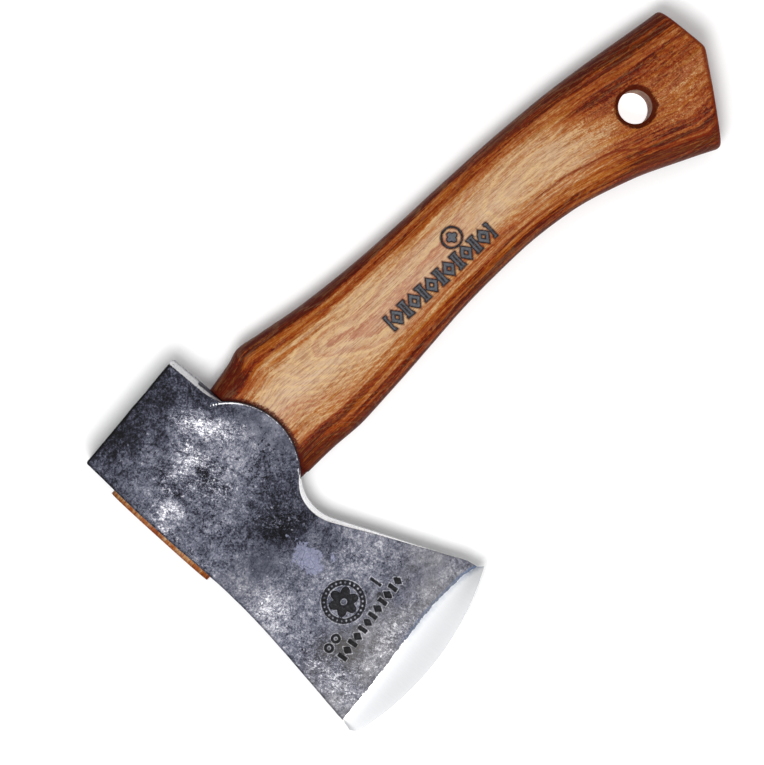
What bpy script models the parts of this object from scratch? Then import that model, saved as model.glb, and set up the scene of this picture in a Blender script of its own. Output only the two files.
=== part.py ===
"""A small forged hatchet, built as it is put together: a steel head with a tapered eye, a curved
wooden handle whose tongue fills the eye, a wooden wedge in the tongue's kerf and a steel cross wedge.

Frame, in metres: the hatchet lies on one cheek of its head on the plane z = 0. +X runs along the eye,
from the top of the head towards the end of the handle. +Y points to the poll and -Y to the cutting
edge. The origin lies on the lower cheek, straight below the middle of the eye.
"""

import math

import bmesh
import bpy
import numpy as np

# Clearances
FIT_GAP = 0.0003  # between two pieces that bear on each other
EAR_CLEARANCE = 0.0013  # between the ears, where the wood is already broader than the eye
OVERRUN = 0.006  # how far a cutter runs past what it cuts

# Head
HEAD_THICKNESS = 0.0235  # cheek to cheek
HEAD_LENGTH = 0.1293  # poll face to the middle of the cutting edge
POLL_WALL = 0.0124  # steel behind the eye
POLL_TOP = -0.0238  # top of the head at the poll
POLL_UNDERSIDE = 0.020  # underside of the head at the poll
TOP_CHAMFER = 0.0008
POLL_CHAMFER = 0.0008
UNDERSIDE_DRAFT = 0.002  # how far the underside swells between cheek and parting line
EDGE_RADIUS = 0.095  # the cutting edge's arc
EDGE_MIDDLE = -0.0045  # x of the arc's centre
HEEL = 0.0333  # x of the edge's corner towards the hand
TOE = -0.0361  # x of the edge's corner away from the hand
TOE_ROUND = 0.0018
BEVEL_WIDTH = 0.0118  # ground bevel, at the middle of the edge
SHOULDER_THICKNESS = 0.0052  # blade where the ground bevel starts
EDGE_THICKNESS = 0.0003
BLADE_CROWN = 0.55  # share of its thickness that the blade loses at the toe and heel
EAR_RADIUS = 0.0234  # the round ears that reach down the handle
EAR_REACH = 0.0270  # x of the ears' lowest point
EAR_OFFSET = -0.0037  # y of the ears' centre
EAR_TAPER = 0.0012  # how much thinner each ear is at its rim
NECK_RADIUS = 0.0157  # hollow between ear and beard
BEARD_SLOPE = 0.405  # how fast the underside runs out towards the heel

# Eye
EYE_LENGTH = 0.043  # along Y, at the top
EYE_WIDTH = 0.0164  # along Z, at the top
WAIST_SQUEEZE = 0.0008  # the eye's half width and half length lose this at the waist
EYE_SLANT = -0.0024  # y of the eye's middle at the underside
EYE_SQUARENESS = 2.6  # 2 would be an ellipse

# Handle
GRIP_LENGTH = 0.1830  # ears' rim to the end of the handle
NECK_THICKNESS = 0.0188  # handle just under the ears
GRIP_THICKNESS = 0.0202
END_THICKNESS = 0.0226
GRIP_SQUARENESS = 2.7
TONGUE_PROUD = 0.0016  # how far the tongue stands out of the head
TONGUE_TILT = 0.04  # slope of the tongue's end, which follows the head's top
END_BULGE = 0.0076  # the end's corner stands this far out of the line between its two outer corners
END_CORNER = 0.32  # where that corner lies, from -1 at the front to 1 at the back
END_ROUND = 0.0018
HOLE_RADIUS = 0.00555
HOLE_CHAMFER = 0.0016
HOLE_FROM_END = 0.0307
HOLE_Y = -0.0285

# Wedges
KERF_DEPTH = 0.034
KERF_WIDTH = 0.0016
WEDGE_DEPTH = 0.028
WEDGE_TOP = 0.0040  # thickness
WEDGE_TIP = 0.0012
STEEL_DEPTH = 0.014
STEEL_WIDTH = 0.019
STEEL_TOP = 0.0028
STEEL_TIP = 0.0009
STEEL_TURN = math.radians(42)  # from the wooden wedge's line

# Fineness of the meshes
RING_POINTS = 32
CHEEK_POINTS = 10
HOLE_SIDES = 32

# Places that follow from the sizes above
MID = HEAD_THICKNESS / 2
POLL_Y = EYE_LENGTH / 2 + POLL_WALL
EDGE_Y = POLL_Y - HEAD_LENGTH
SHOULDER_Y = EDGE_Y + BEVEL_WIDTH
GRIP_START = EAR_REACH + FIT_GAP
HANDLE_END = EAR_REACH + GRIP_LENGTH


def through(points):
    """A smooth function through (place, value) points that never overshoots between them."""
    place, value = np.array(sorted(points), float).T
    step = np.diff(place)
    slope = np.diff(value) / step
    product, total = slope[1:] * slope[:-1], slope[1:] + slope[:-1]
    inner = np.where(product > 0, 2 * product / np.where(product > 0, total, 1), 0)
    tangent = np.concatenate([[slope[0]], inner, [slope[-1]]])

    def at(x):
        x = np.clip(x, place[0], place[-1])
        i = np.clip(np.searchsorted(place, x) - 1, 0, len(step) - 1)
        t = (x - place[i]) / step[i]
        ends = value[i] * (1 + 2 * t) * (1 - t) ** 2 + value[i + 1] * t * t * (3 - 2 * t)
        turns = tangent[i] * t * (1 - t) ** 2 - tangent[i + 1] * t * t * (1 - t)
        return ends + step[i] * turns

    return at


def blend(a, b, t):
    """a at t = 0 and b at t = 1, with no kink at either."""
    t = np.clip(t, 0, 1)
    return a + (b - a) * t * t * (3 - 2 * t)


# --- the head's outline, as x over y ---------------------------------------------------------------

EAR_CENTRE = (EAR_REACH - EAR_RADIUS, EAR_OFFSET)
BEARD_NORMAL = np.array([1, BEARD_SLOPE]) / math.hypot(1, BEARD_SLOPE)


def edge_arc(x):
    """y of the cutting edge's arc."""
    centre = EDGE_Y + EDGE_RADIUS
    return centre - np.sqrt(EDGE_RADIUS**2 - (x - EDGE_MIDDLE) ** 2)


BEARD_LEVEL = float(BEARD_NORMAL @ [HEEL, edge_arc(HEEL)])


def neck_centre():
    """Centre of the arc that touches the ear from outside and the beard's straight underside."""
    level = BEARD_LEVEL + NECK_RADIUS - BEARD_NORMAL @ EAR_CENTRE
    along = math.sqrt((EAR_RADIUS + NECK_RADIUS) ** 2 - level**2)
    side = np.array([BEARD_NORMAL[1], -BEARD_NORMAL[0]])
    return np.array(EAR_CENTRE) + level * BEARD_NORMAL + along * side


NECK_CENTRE = neck_centre()
EAR_TO_NECK = EAR_CENTRE[1] + (NECK_CENTRE[1] - EAR_CENTRE[1]) * EAR_RADIUS / (EAR_RADIUS + NECK_RADIUS)
NECK_TO_BEARD = NECK_CENTRE[1] - NECK_RADIUS * BEARD_NORMAL[1]
POLL_TO_EAR = EAR_CENTRE[1] + math.sqrt(EAR_RADIUS**2 - (POLL_UNDERSIDE - EAR_CENTRE[0]) ** 2)


def underside(y):
    """x of the head's underside at the parting line: poll, ear, neck and beard in turn."""
    if y > POLL_TO_EAR:
        return POLL_UNDERSIDE
    if y > EAR_TO_NECK:
        return EAR_CENTRE[0] + math.sqrt(EAR_RADIUS**2 - (y - EAR_CENTRE[1]) ** 2)
    if y > NECK_TO_BEARD:
        return NECK_CENTRE[0] - math.sqrt(NECK_RADIUS**2 - (y - NECK_CENTRE[1]) ** 2)
    return (BEARD_LEVEL - BEARD_NORMAL[1] * y) / BEARD_NORMAL[0]


# The top runs down a little to behind the eye, and then out to the toe.
head_top = through(
    [
        (POLL_Y, POLL_TOP),
        (0.005, POLL_TOP - 0.0018),
        (-0.025, POLL_TOP - 0.0027),
        (-0.040, POLL_TOP - 0.0041),
        (-0.065, POLL_TOP - 0.0080),
        (edge_arc(TOE), TOE),
    ]
)

# How much of the swell on the underside is left along the head.
swell = through(
    [
        (POLL_Y, 1),
        (0.020, 1),
        (0.012, 0.45),
        (-0.020, 0.45),
        (-0.026, 1),
        (-0.040, 0.9),
        (-0.060, 0.45),
        (-0.075, 0.15),
        (SHOULDER_Y, 0.1),
    ]
)

CHEEK_END = -EYE_LENGTH / 2 + 0.0065  # where the flat cheek ends and the blade starts to thin

# Share of the thinning that is left between the flat cheek (0) and the bevel's shoulder (1).
thinning = through([(0, 1), (0.1, 0.93), (0.2, 0.74), (0.32, 0.5), (0.5, 0.28), (0.75, 0.11), (1, 0)])


def half_thickness(y):
    """Half the head's thickness in the middle of the blade."""
    share = (CHEEK_END - y) / (CHEEK_END - SHOULDER_Y)
    return SHOULDER_THICKNESS / 2 + (MID - SHOULDER_THICKNESS / 2) * thinning(share)


def crown(y):
    """Share of the thickness lost at the top and the underside of the blade."""
    return BLADE_CROWN * blend(0, 1, (CHEEK_END - y) / (CHEEK_END - SHOULDER_Y))


def head_ring(y, chamfer=0.0):
    """One closed section of the head at y, from the parting line of the underside over the upper
    cheek to the top, and back over the lower cheek."""
    out, top, half = underside(y) - chamfer, head_top(y) + chamfer, half_thickness(y) - chamfer
    draft = UNDERSIDE_DRAFT * swell(y)
    ear = EAR_TAPER * blend(0, 1, (out - POLL_UNDERSIDE) / (EAR_REACH - POLL_UNDERSIDE))
    ear = ear if y > EAR_TO_NECK else 0
    corner = out - draft
    edge_x, edge_z = TOP_CHAMFER, min(TOP_CHAMFER, half / 3)
    x = np.linspace(corner, top + edge_x, CHEEK_POINTS)
    middle = (corner + top) / 2
    z = half * (1 - crown(y) * ((x - middle) / (corner - middle)) ** 2)
    z = z - ear * blend(0, 1, (x - POLL_UNDERSIDE * 0.7) / (EAR_REACH - POLL_UNDERSIDE * 0.7))
    under = [(out, z[0] * 0.2), (out - draft * 0.35, z[0] * 0.65), (out - draft * 0.7, z[0] * 0.9)]
    over = [(top + 0.0002, z[-1] - edge_z), (top, z[-1] * 0.2)]
    half_ring = np.array([*under, *zip(x, z), *over])
    whole = np.concatenate([half_ring, half_ring[::-1] * [1, -1]])
    return np.column_stack([whole[:, 0], np.full(len(whole), y), MID + whole[:, 1]])


def bevel_ring(share):
    """A section through the ground bevel, 0 at its shoulder and 1 at the cutting edge."""
    start = head_ring(SHOULDER_Y)
    across = (start[:, 0] - start[:, 0].min()) / np.ptp(start[:, 0])
    edge_x = TOE + (HEEL - TOE) * across
    corner = TOE_ROUND * np.clip(1 - across / 0.03, 0, 1)
    side = np.sign(start[:, 2] - MID)
    edge = np.column_stack([edge_x, edge_arc(edge_x) + corner, MID + side * EDGE_THICKNESS / 2])
    ring = start + (edge - start) * share
    convex = 1 + 0.25 * share * (1 - share)
    ring[:, 2] = MID + (ring[:, 2] - MID) * convex
    return ring


def oval_ring(x, half_length, half_width, middle, squareness):
    """A closed, squared oval across X."""
    angle = (np.arange(RING_POINTS) + 0.5) * 2 * math.pi / RING_POINTS
    along, up = np.cos(angle), np.sin(angle)
    along = np.sign(along) * np.abs(along) ** (2 / squareness)
    up = np.sign(up) * np.abs(up) ** (2 / squareness)
    y = middle + half_length * along / along.max()
    return np.column_stack([np.full(RING_POINTS, x), y, MID + half_width * up / up.max()])


EYE_TOP = head_top(0)


def eye_ring(x, shrink=0.0):
    """The eye's section at x: widest at the top and the underside, with a waist between."""
    share = (x - EYE_TOP) / (POLL_UNDERSIDE - EYE_TOP)
    waist = WAIST_SQUEEZE * (1 - (2 * min(max(share, 0), 1) - 1) ** 2)
    half_length = EYE_LENGTH / 2 - 0.4 * WAIST_SQUEEZE * share - waist - shrink
    half_width = EYE_WIDTH / 2 - waist - shrink
    return oval_ring(x, half_length, half_width, EYE_SLANT * share, EYE_SQUARENESS)


# --- the handle's outline ----------------------------------------------------------------------------

# (share of the grip's length from the ears to the end, y)
back_line = through(
    [
        (-0.04, 0.0183),
        (0.02, 0.0192),
        (0.045, 0.0201),
        (0.09, 0.0181),
        (0.18, 0.0135),
        (0.29, 0.0093),
        (0.40, 0.0063),
        (0.51, 0.0036),
        (0.62, 0.0009),
        (0.73, -0.0027),
        (0.84, -0.0072),
        (0.94, -0.0119),
        (1.0, -0.0146),
    ]
)
front_line = through(
    [
        (-0.055, -0.0232),
        (0.02, -0.0246),
        (0.10, -0.0268),
        (0.18, -0.0273),
        (0.345, -0.0279),
        (0.51, -0.0304),
        (0.62, -0.0347),
        (0.73, -0.0428),
        (0.84, -0.0543),
        (0.88, -0.0588),
    ]
)
BACK_CORNER = 0.998  # the back and front corners of the end, as shares of the grip's length
FRONT_CORNER = 0.881
thickness_line = through(
    [
        (0.0, NECK_THICKNESS),
        (0.12, GRIP_THICKNESS),
        (0.5, GRIP_THICKNESS),
        (0.85, END_THICKNESS),
        (1.0, END_THICKNESS),
    ]
)


def grip_x(share):
    return EAR_REACH + GRIP_LENGTH * share


def grip_ring(share, inset=0.0, half=None):
    """A section of the grip. Its plane fans out along the grip until it meets the end's two corners,
    and its middle then swells out to the end's own corner."""
    fan = blend(0, 1, (share - 0.35) / 0.65)
    at_back = share + (BACK_CORNER - 1) * fan
    at_front = share + (FRONT_CORNER - 1) * fan
    back = np.array([grip_x(at_back), back_line(at_back)])
    front = np.array([grip_x(at_front), front_line(at_front)])
    across = (back - front) / np.linalg.norm(back - front)
    ahead = np.array([across[1], -across[0]])
    half = thickness_line(share) / 2 if half is None else half
    oval = oval_ring(0, 1, half - inset, 0, GRIP_SQUARENESS)
    place = oval[:, 1]
    bulge = np.minimum((1 - place) / (1 - END_CORNER), (1 + place) / (1 + END_CORNER))
    bulge = END_BULGE * bulge * blend(0, 1, (share - 0.55) / 0.45)
    width = np.linalg.norm(back - front) / 2 - inset
    plan = (back + front) / 2 + place[:, None] * width * across + bulge[:, None] * ahead
    return np.column_stack([plan, oval[:, 2]])


# --- making objects ------------------------------------------------------------------------------------


def material(name, colour, metallic, roughness):
    made = bpy.data.materials.new(name)
    made.use_nodes = True
    shader = made.node_tree.nodes["Principled BSDF"]
    shader.inputs["Base Color"].default_value = (*colour, 1)
    shader.inputs["Metallic"].default_value = metallic
    shader.inputs["Roughness"].default_value = roughness
    return made


def add_object(name, mesh, collection, finish=None):
    """A new object for the mesh. With no finish it is a cutter."""
    obj = bpy.data.objects.new(name, mesh)
    collection.objects.link(obj)
    if finish is None:
        obj.hide_render = True
        obj.display_type = "WIRE"
    else:
        mesh.materials.append(finish)
    return obj


def loft(name, rings, collection, finish=None):
    """A closed skin over rings of points that mirror across the middle plane, so that point k lies
    opposite point n - 1 - k. Each end is closed by a ribbon between opposite points."""
    count = len(rings[0])
    quads = []
    for row in range(len(rings) - 1):
        for k in range(count):
            a, b = row * count + k, row * count + (k + 1) % count
            quads.append((a, b, b + count, a + count))
    last = (len(rings) - 1) * count
    for k in range(count // 2 - 1):
        far = count - 1 - k
        quads.append((k, far, far - 1, k + 1))
        quads.append((last + k, last + k + 1, last + far - 1, last + far))
    mesh = bpy.data.meshes.new(name)
    mesh.from_pydata(np.concatenate(rings).tolist(), [], quads)
    shape = bmesh.new()
    shape.from_mesh(mesh)
    if shape.calc_volume(signed=True) < 0:
        bmesh.ops.reverse_faces(shape, faces=shape.faces)
    shape.to_mesh(mesh)
    shape.free()
    mesh.shade_smooth()
    mesh.set_sharp_from_angle(angle=math.radians(35))
    return add_object(name, mesh, collection, finish)


def tapered_wedge(name, depth, length, top, tip, collection, finish=None):
    """A wedge standing on its tip: depth along X from the tip at x = 0 up to the top at -depth,
    length along Y, and its thickness, from tip to top, along Z."""
    shape = bmesh.new()
    bmesh.ops.create_cube(shape, size=1)
    for vertex in shape.verts:
        thickness = tip if vertex.co.x > 0 else top
        vertex.co = ((vertex.co.x - 0.5) * depth, vertex.co.y * length, vertex.co.z * thickness)
    mesh = bpy.data.meshes.new(name)
    shape.to_mesh(mesh)
    shape.free()
    return add_object(name, mesh, collection, finish)


def turned(name, profile, collection):
    """A turned cutter about Z from an (x, z) profile that runs from the top down."""
    mesh = bpy.data.meshes.new(name)
    mesh.from_pydata([(x, 0, z) for x, z in profile], [(k, k + 1) for k in range(len(profile) - 1)], [])
    obj = add_object(name, mesh, collection)
    screw = obj.modifiers.new("turn", "SCREW")
    screw.steps = screw.render_steps = HOLE_SIDES
    screw.use_merge_vertices = True
    screw.merge_threshold = 0.00001
    return obj


def cut(obj, cutter, operation="DIFFERENCE"):
    step = obj.modifiers.new(operation.lower() + " " + cutter.name, "BOOLEAN")
    step.operation = operation
    step.object = cutter


# --- the pieces ------------------------------------------------------------------------------------------


def head_stations():
    """y of each ring: close together where the ears and the neck curve, and wider on the blade."""
    ear = EAR_CENTRE[1] + EAR_RADIUS * np.sin(np.radians([38, 25, 12, 0, -12, -25, -38]))
    poll = [POLL_Y - POLL_CHAMFER, POLL_TO_EAR + 0.0045, POLL_TO_EAR + 0.0003]
    neck = np.linspace(EAR_TO_NECK, NECK_TO_BEARD, 7)
    blade = np.linspace(NECK_TO_BEARD, SHOULDER_Y, 8)[1:]
    return sorted([*poll, *ear, CHEEK_END, *neck, *blade], reverse=True)


def make_head(parts, tools, steel):
    rings = [head_ring(POLL_Y, POLL_CHAMFER)]
    rings += [head_ring(y) for y in head_stations()]
    rings += [bevel_ring(share) for share in (0.35, 0.7, 1)]
    head = loft("axe_head", rings, parts, steel)
    eye = [eye_ring(x) for x in np.linspace(EYE_TOP - OVERRUN, EAR_REACH + OVERRUN, 12)]
    cut(head, loft("eye_cutter", eye, tools))
    return head


def make_handle(parts, tools, wood):
    """Tongue, neck, grip and end as one skin."""
    tongue = np.linspace(EYE_TOP - OVERRUN, underside(-EYE_LENGTH / 2) - 0.001, 9)
    rings = [eye_ring(x, FIT_GAP) for x in tongue]
    inside = EYE_WIDTH / 2 - EAR_CLEARANCE
    between_ears = (POLL_UNDERSIDE - EAR_REACH) / GRIP_LENGTH
    rings += [grip_ring(share, half=inside) for share in np.linspace(between_ears, FIT_GAP / GRIP_LENGTH, 4)]
    shares = [0.008, 0.02, 0.045, 0.07, 0.1, *np.linspace(0.14, 0.984, 24)]
    rings += [grip_ring(share) for share in shares]
    rings += [
        grip_ring(1 - END_ROUND / GRIP_LENGTH),
        grip_ring(1 - END_ROUND * 0.3 / GRIP_LENGTH, inset=END_ROUND * 0.3),
        grip_ring(1, inset=END_ROUND),
    ]
    handle = loft("handle", rings, parts, wood)
    far, lip = END_THICKNESS / 2 + OVERRUN, thickness_line(1) / 2
    mouth = HOLE_RADIUS + HOLE_CHAMFER + OVERRUN
    upper = [(0, far), (mouth, far), (mouth, lip + OVERRUN), (HOLE_RADIUS, lip - HOLE_CHAMFER)]
    lower = [(x, -z) for x, z in reversed(upper)]
    hole = turned("lanyard_hole_cutter", upper + lower, tools)
    hole.location = (HANDLE_END - HOLE_FROM_END, HOLE_Y, MID)
    cut(handle, hole)
    return handle


def tongue_trim(tools):
    """A block over everything that stands more than TONGUE_PROUD out of the head's top."""
    shape = bmesh.new()
    bmesh.ops.create_cube(shape, size=1)
    size = (4 * OVERRUN, 2 * EYE_LENGTH, 2 * HEAD_THICKNESS)
    for vertex in shape.verts:
        vertex.co = ((vertex.co.x - 0.5) * size[0], vertex.co.y * size[1], vertex.co.z * size[2])
    mesh = bpy.data.meshes.new("tongue_trim")
    shape.to_mesh(mesh)
    shape.free()
    block = add_object("tongue_trim", mesh, tools)
    block.location = (EYE_TOP - TONGUE_PROUD, 0, MID)
    block.rotation_euler.z = -math.atan(TONGUE_TILT)
    return block


def stand_wedge(wedge, tip, y, turn=0.0):
    """Puts a wedge's tip at x = tip, turned about the eye's axis."""
    wedge.location = (tip, y, MID)
    wedge.rotation_euler.x = turn


def make_wedges(parts, tools, handle, wood, steel):
    """The wooden wedge in the tongue's kerf and the steel wedge across it, with the slots they sit in."""
    top = EYE_TOP - TONGUE_PROUD
    trim = tongue_trim(tools)
    over = OVERRUN / 2
    slant = EYE_SLANT * WEDGE_DEPTH / (POLL_UNDERSIDE - EYE_TOP) / 2

    def grown(top_thickness, tip_thickness, depth):
        """A wedge's top thickness once it runs on past the top of the tongue."""
        return top_thickness + (top_thickness - tip_thickness) * over / depth

    wedge_top = grown(WEDGE_TOP, WEDGE_TIP, WEDGE_DEPTH)
    steel_top = grown(STEEL_TOP, STEEL_TIP, STEEL_DEPTH)
    length = 2 * EYE_LENGTH

    wedge = tapered_wedge("wooden_wedge", WEDGE_DEPTH + over, length, wedge_top, WEDGE_TIP, parts, wood)
    stand_wedge(wedge, top + WEDGE_DEPTH, slant)
    kerf = tapered_wedge(
        "kerf_cutter",
        WEDGE_DEPTH + over + FIT_GAP,
        length,
        wedge_top + 2 * FIT_GAP,
        WEDGE_TIP + 2 * FIT_GAP,
        tools,
    )
    stand_wedge(kerf, top + WEDGE_DEPTH + FIT_GAP, slant)
    saw = tapered_wedge("saw_cutter", KERF_DEPTH + over, length, KERF_WIDTH, KERF_WIDTH, tools)
    stand_wedge(saw, top + KERF_DEPTH, slant)

    cross = tapered_wedge("steel_wedge", STEEL_DEPTH + over, STEEL_WIDTH, steel_top, STEEL_TIP, parts, steel)
    stand_wedge(cross, top + STEEL_DEPTH, 0, STEEL_TURN)
    slot = tapered_wedge(
        "steel_slot_cutter",
        STEEL_DEPTH + over + FIT_GAP,
        STEEL_WIDTH + 2 * FIT_GAP,
        steel_top + 2 * FIT_GAP,
        STEEL_TIP + 2 * FIT_GAP,
        tools,
    )
    stand_wedge(slot, top + STEEL_DEPTH + FIT_GAP, 0, STEEL_TURN)

    tongue = [eye_ring(x, 2 * FIT_GAP) for x in np.linspace(EYE_TOP - OVERRUN, EAR_REACH, 9)]
    outline = loft("tongue_shape", tongue, tools)
    cut(wedge, outline, "INTERSECT")
    for piece in (handle, wedge):
        cut(piece, slot)
    for cutter in (kerf, saw):
        cut(handle, cutter)
    for piece in (handle, wedge, cross):
        cut(piece, trim)


def main():
    for obj in list(bpy.data.objects):
        bpy.data.objects.remove(obj)
    parts = bpy.data.collections.new("hatchet")
    tools = bpy.data.collections.new("cutters")
    for collection in (parts, tools):
        bpy.context.scene.collection.children.link(collection)
    forged = material("forged_steel", (0.12, 0.12, 0.14), 0.9, 0.45)
    oiled = material("oiled_wood", (0.50, 0.23, 0.08), 0.0, 0.45)
    pale = material("wedge_wood", (0.62, 0.42, 0.22), 0.0, 0.6)
    bright = material("wedge_steel", (0.45, 0.45, 0.47), 1.0, 0.35)
    make_head(parts, tools, forged)
    handle = make_handle(parts, tools, oiled)
    make_wedges(parts, tools, handle, pale, bright)


main()
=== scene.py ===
"""The looks of a small forged hatchet: a dark forged head with a ground bevel, an oiled wooden handle
with growth rings, a burnt border and a lanyard hole, and the two wedges in the eye.

Frame, in metres: the hatchet lies on one cheek on z = 0. +X runs along the eye towards the end of the
handle, +Y towards the poll, -Y towards the cutting edge, and +Z up.
"""
import logging
import math
from collections.abc import Callable, Sequence
from dataclasses import dataclass, field
from enum import Enum

import bmesh
import bpy
import numpy as np
from mathutils import Matrix, Vector


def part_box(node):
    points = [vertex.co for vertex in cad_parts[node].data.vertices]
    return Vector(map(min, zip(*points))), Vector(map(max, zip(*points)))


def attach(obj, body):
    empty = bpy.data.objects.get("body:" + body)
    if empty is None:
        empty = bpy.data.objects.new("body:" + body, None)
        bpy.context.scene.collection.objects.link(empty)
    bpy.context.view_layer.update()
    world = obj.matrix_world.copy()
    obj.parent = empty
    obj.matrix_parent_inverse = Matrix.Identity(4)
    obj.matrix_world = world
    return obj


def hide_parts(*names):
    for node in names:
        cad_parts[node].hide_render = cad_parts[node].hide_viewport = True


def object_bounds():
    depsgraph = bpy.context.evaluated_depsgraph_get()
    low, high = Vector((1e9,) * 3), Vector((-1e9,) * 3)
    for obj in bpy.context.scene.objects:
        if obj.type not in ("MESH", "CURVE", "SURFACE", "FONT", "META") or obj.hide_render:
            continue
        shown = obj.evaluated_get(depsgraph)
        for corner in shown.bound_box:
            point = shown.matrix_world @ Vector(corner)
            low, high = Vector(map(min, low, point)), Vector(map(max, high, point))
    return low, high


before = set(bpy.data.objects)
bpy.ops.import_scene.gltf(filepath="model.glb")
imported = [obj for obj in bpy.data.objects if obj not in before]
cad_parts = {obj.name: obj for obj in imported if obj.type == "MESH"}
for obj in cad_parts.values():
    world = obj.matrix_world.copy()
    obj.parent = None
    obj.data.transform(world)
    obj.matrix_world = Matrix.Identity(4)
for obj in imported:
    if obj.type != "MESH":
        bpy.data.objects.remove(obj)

Array = np.ndarray
Line = Callable[[Array], Array]
Colour = tuple[float, float, float, float]
Socket = bpy.types.NodeSocket

CAD_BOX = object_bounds()
BODY = "root"
MM = 0.001
WELD = 2e-6
CREASE = math.radians(40)
HASH_AXES = (73856093, 19349663, 83492791)
HASH_SEED = 2654435761
HASH_MIX = 0x5BD1E995
OCTAVE_SEED = 101
OCTAVE_SHIFT = 17.3
CLOUD_SPREAD = 1.6
LOG = logging.getLogger("hatchet")


# --- lines, noise and colour -----------------------------------------------------------------------------


def fair_line(points: Sequence[tuple[float, float]]) -> Line:
    """A smooth line through points that never overshoots between them.

    Between two points it is the cubic with the harmonic mean of the neighbouring slopes at each end.

    Args:
        points: (place, value) pairs.

    Returns:
        A function from places to values that holds its end values outside the points.
    """
    place, value = np.array(sorted(points), float).T
    step = np.diff(place)
    slope = np.diff(value) / step
    product, total = slope[1:] * slope[:-1], slope[1:] + slope[:-1]
    inner = np.where(product > 0, 2 * product / np.where(product > 0, total, 1), 0)
    tangent = np.concatenate([[slope[0]], inner, [slope[-1]]])

    def at(x: Array) -> Array:
        """Values of the line at the places x."""
        x = np.clip(x, place[0], place[-1])
        i = np.clip(np.searchsorted(place, x) - 1, 0, len(step) - 1)
        t = (x - place[i]) / step[i]
        ends = value[i] * (1 + 2 * t) * (1 - t) ** 2 + value[i + 1] * t * t * (3 - 2 * t)
        turns = tangent[i] * t * (1 - t) ** 2 - tangent[i + 1] * t * t * (1 - t)
        return ends + step[i] * turns

    return at


def ease(x: Array, low: float, high: float) -> Array:
    """0 below low, 1 above high, and 3t^2 - 2t^3 between."""
    t = np.clip((np.asarray(x, float) - low) / (high - low), 0, 1)
    return t * t * (3 - 2 * t)


def squared_circle(angle: Array, squareness: float) -> tuple[Array, Array]:
    """The points of |a|^n + |b|^n = 1 at each angle, n being the squareness: 2 gives a circle."""
    a, b, power = np.cos(angle), np.sin(angle), 2 / squareness
    return np.sign(a) * np.abs(a) ** power, np.sign(b) * np.abs(b) ** power


def lattice(cell: Array, seed: int) -> Array:
    """A repeatable number from 0 to 1 for each whole-number cell.

    Args:
        cell: whole coordinates, shape (n, 3).
        seed: picks one of many patterns.

    Returns:
        One number per cell, from a multiply-and-shift hash.
    """
    c = cell.astype(np.int64).astype(np.uint64) * np.array(HASH_AXES, np.uint64)
    h = c[:, 0] ^ c[:, 1] ^ c[:, 2]
    h = (h ^ np.uint64(seed * HASH_SEED % 2**32)) & np.uint64(0xFFFFFFFF)
    for shift in (13, 16, 11):
        h = ((h ^ (h >> np.uint64(shift))) * np.uint64(HASH_MIX)) & np.uint64(0xFFFFFFFF)
    return (h & np.uint64(0xFFFFFF)).astype(float) / 0xFFFFFF


def cloud(points: Array, size: float | tuple[float, float, float], seed: int, octaves: int = 4) -> Array:
    """Smooth noise in space: values on a lattice, eased between its corners, in halving octaves.

    Args:
        points: shape (n, 3), in metres.
        size: cell size of the coarsest octave, in metres, one or per axis.
        seed: picks one of many patterns.
        octaves: how many octaves are added, each with half the size and half the weight.

    Returns:
        Values from about -1 to 1.
    """
    total, weight = np.zeros(len(points)), 0.0
    q = points / np.asarray(size, float)
    for octave in range(octaves):
        base = np.floor(q)
        t = q - base
        t = t * t * (3 - 2 * t)
        value = np.zeros(len(points))
        for corner in range(8):
            pick = np.array([corner & 1, corner >> 1 & 1, corner >> 2 & 1])
            share = np.prod(np.where(pick, t, 1 - t), axis=1)
            value += share * lattice(base + pick, seed + OCTAVE_SEED * octave)
        total += (2 * value - 1) * 0.5**octave
        weight += 0.5**octave
        q = q * 2 + OCTAVE_SHIFT
    return total / weight * CLOUD_SPREAD


def srgb(red: int, green: int, blue: int) -> Colour:
    """A colour from its three screen values of 0 to 255, as the linear RGBA that shaders take."""
    shares = np.array([red, green, blue]) / 255
    linear = np.where(shares <= 0.04045, shares / 12.92, ((shares + 0.055) / 1.055) ** 2.4)
    return (*linear.tolist(), 1.0)


def seen(red: int, green: int, blue: int, light: float = 1.42) -> Colour:
    """The colour of a face that looks like the sRGB colour in this studio.

    Args:
        red: 0 to 255.
        green: 0 to 255.
        blue: 0 to 255.
        light: how much brighter than its own colour a level face looks.

    Returns:
        The linear colour.
    """
    shown = srgb(red, green, blue)
    return (shown[0] / light, shown[1] / light, shown[2] / light, 1.0)


# --- meshes ----------------------------------------------------------------------------------------------


def grid_faces(rows: int, columns: int, around: bool) -> Array:
    """Four corner numbers for each face of a grid of points.

    Args:
        rows: rows of points.
        columns: points in a row.
        around: whether the last point of a row joins its first.

    Returns:
        Shape (faces, 4).
    """
    row = np.arange(rows - 1)[:, None] * columns
    k = np.arange(columns if around else columns - 1)[None, :]
    after = (k + 1) % columns
    quads = np.stack([row + k, row + after, row + columns + after, row + columns + k], axis=-1)
    return quads.reshape(-1, 4)


def end_cap(ring: Array, steps: int) -> Array:
    """Points that close a ring which mirrors onto itself, point k lying opposite point -k.

    Each row runs straight across, from point k to point -k, so the first and last rows are single points.

    Args:
        ring: shape (2h, 3).
        steps: faces across.

    Returns:
        Shape (h + 1, steps + 1, 3).
    """
    half = len(ring) // 2
    near = ring[: half + 1]
    far = ring[-np.arange(half + 1)]
    t = np.linspace(0, 1, steps + 1)[None, :, None]
    return near[:, None] * (1 - t) + far[:, None] * t


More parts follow.
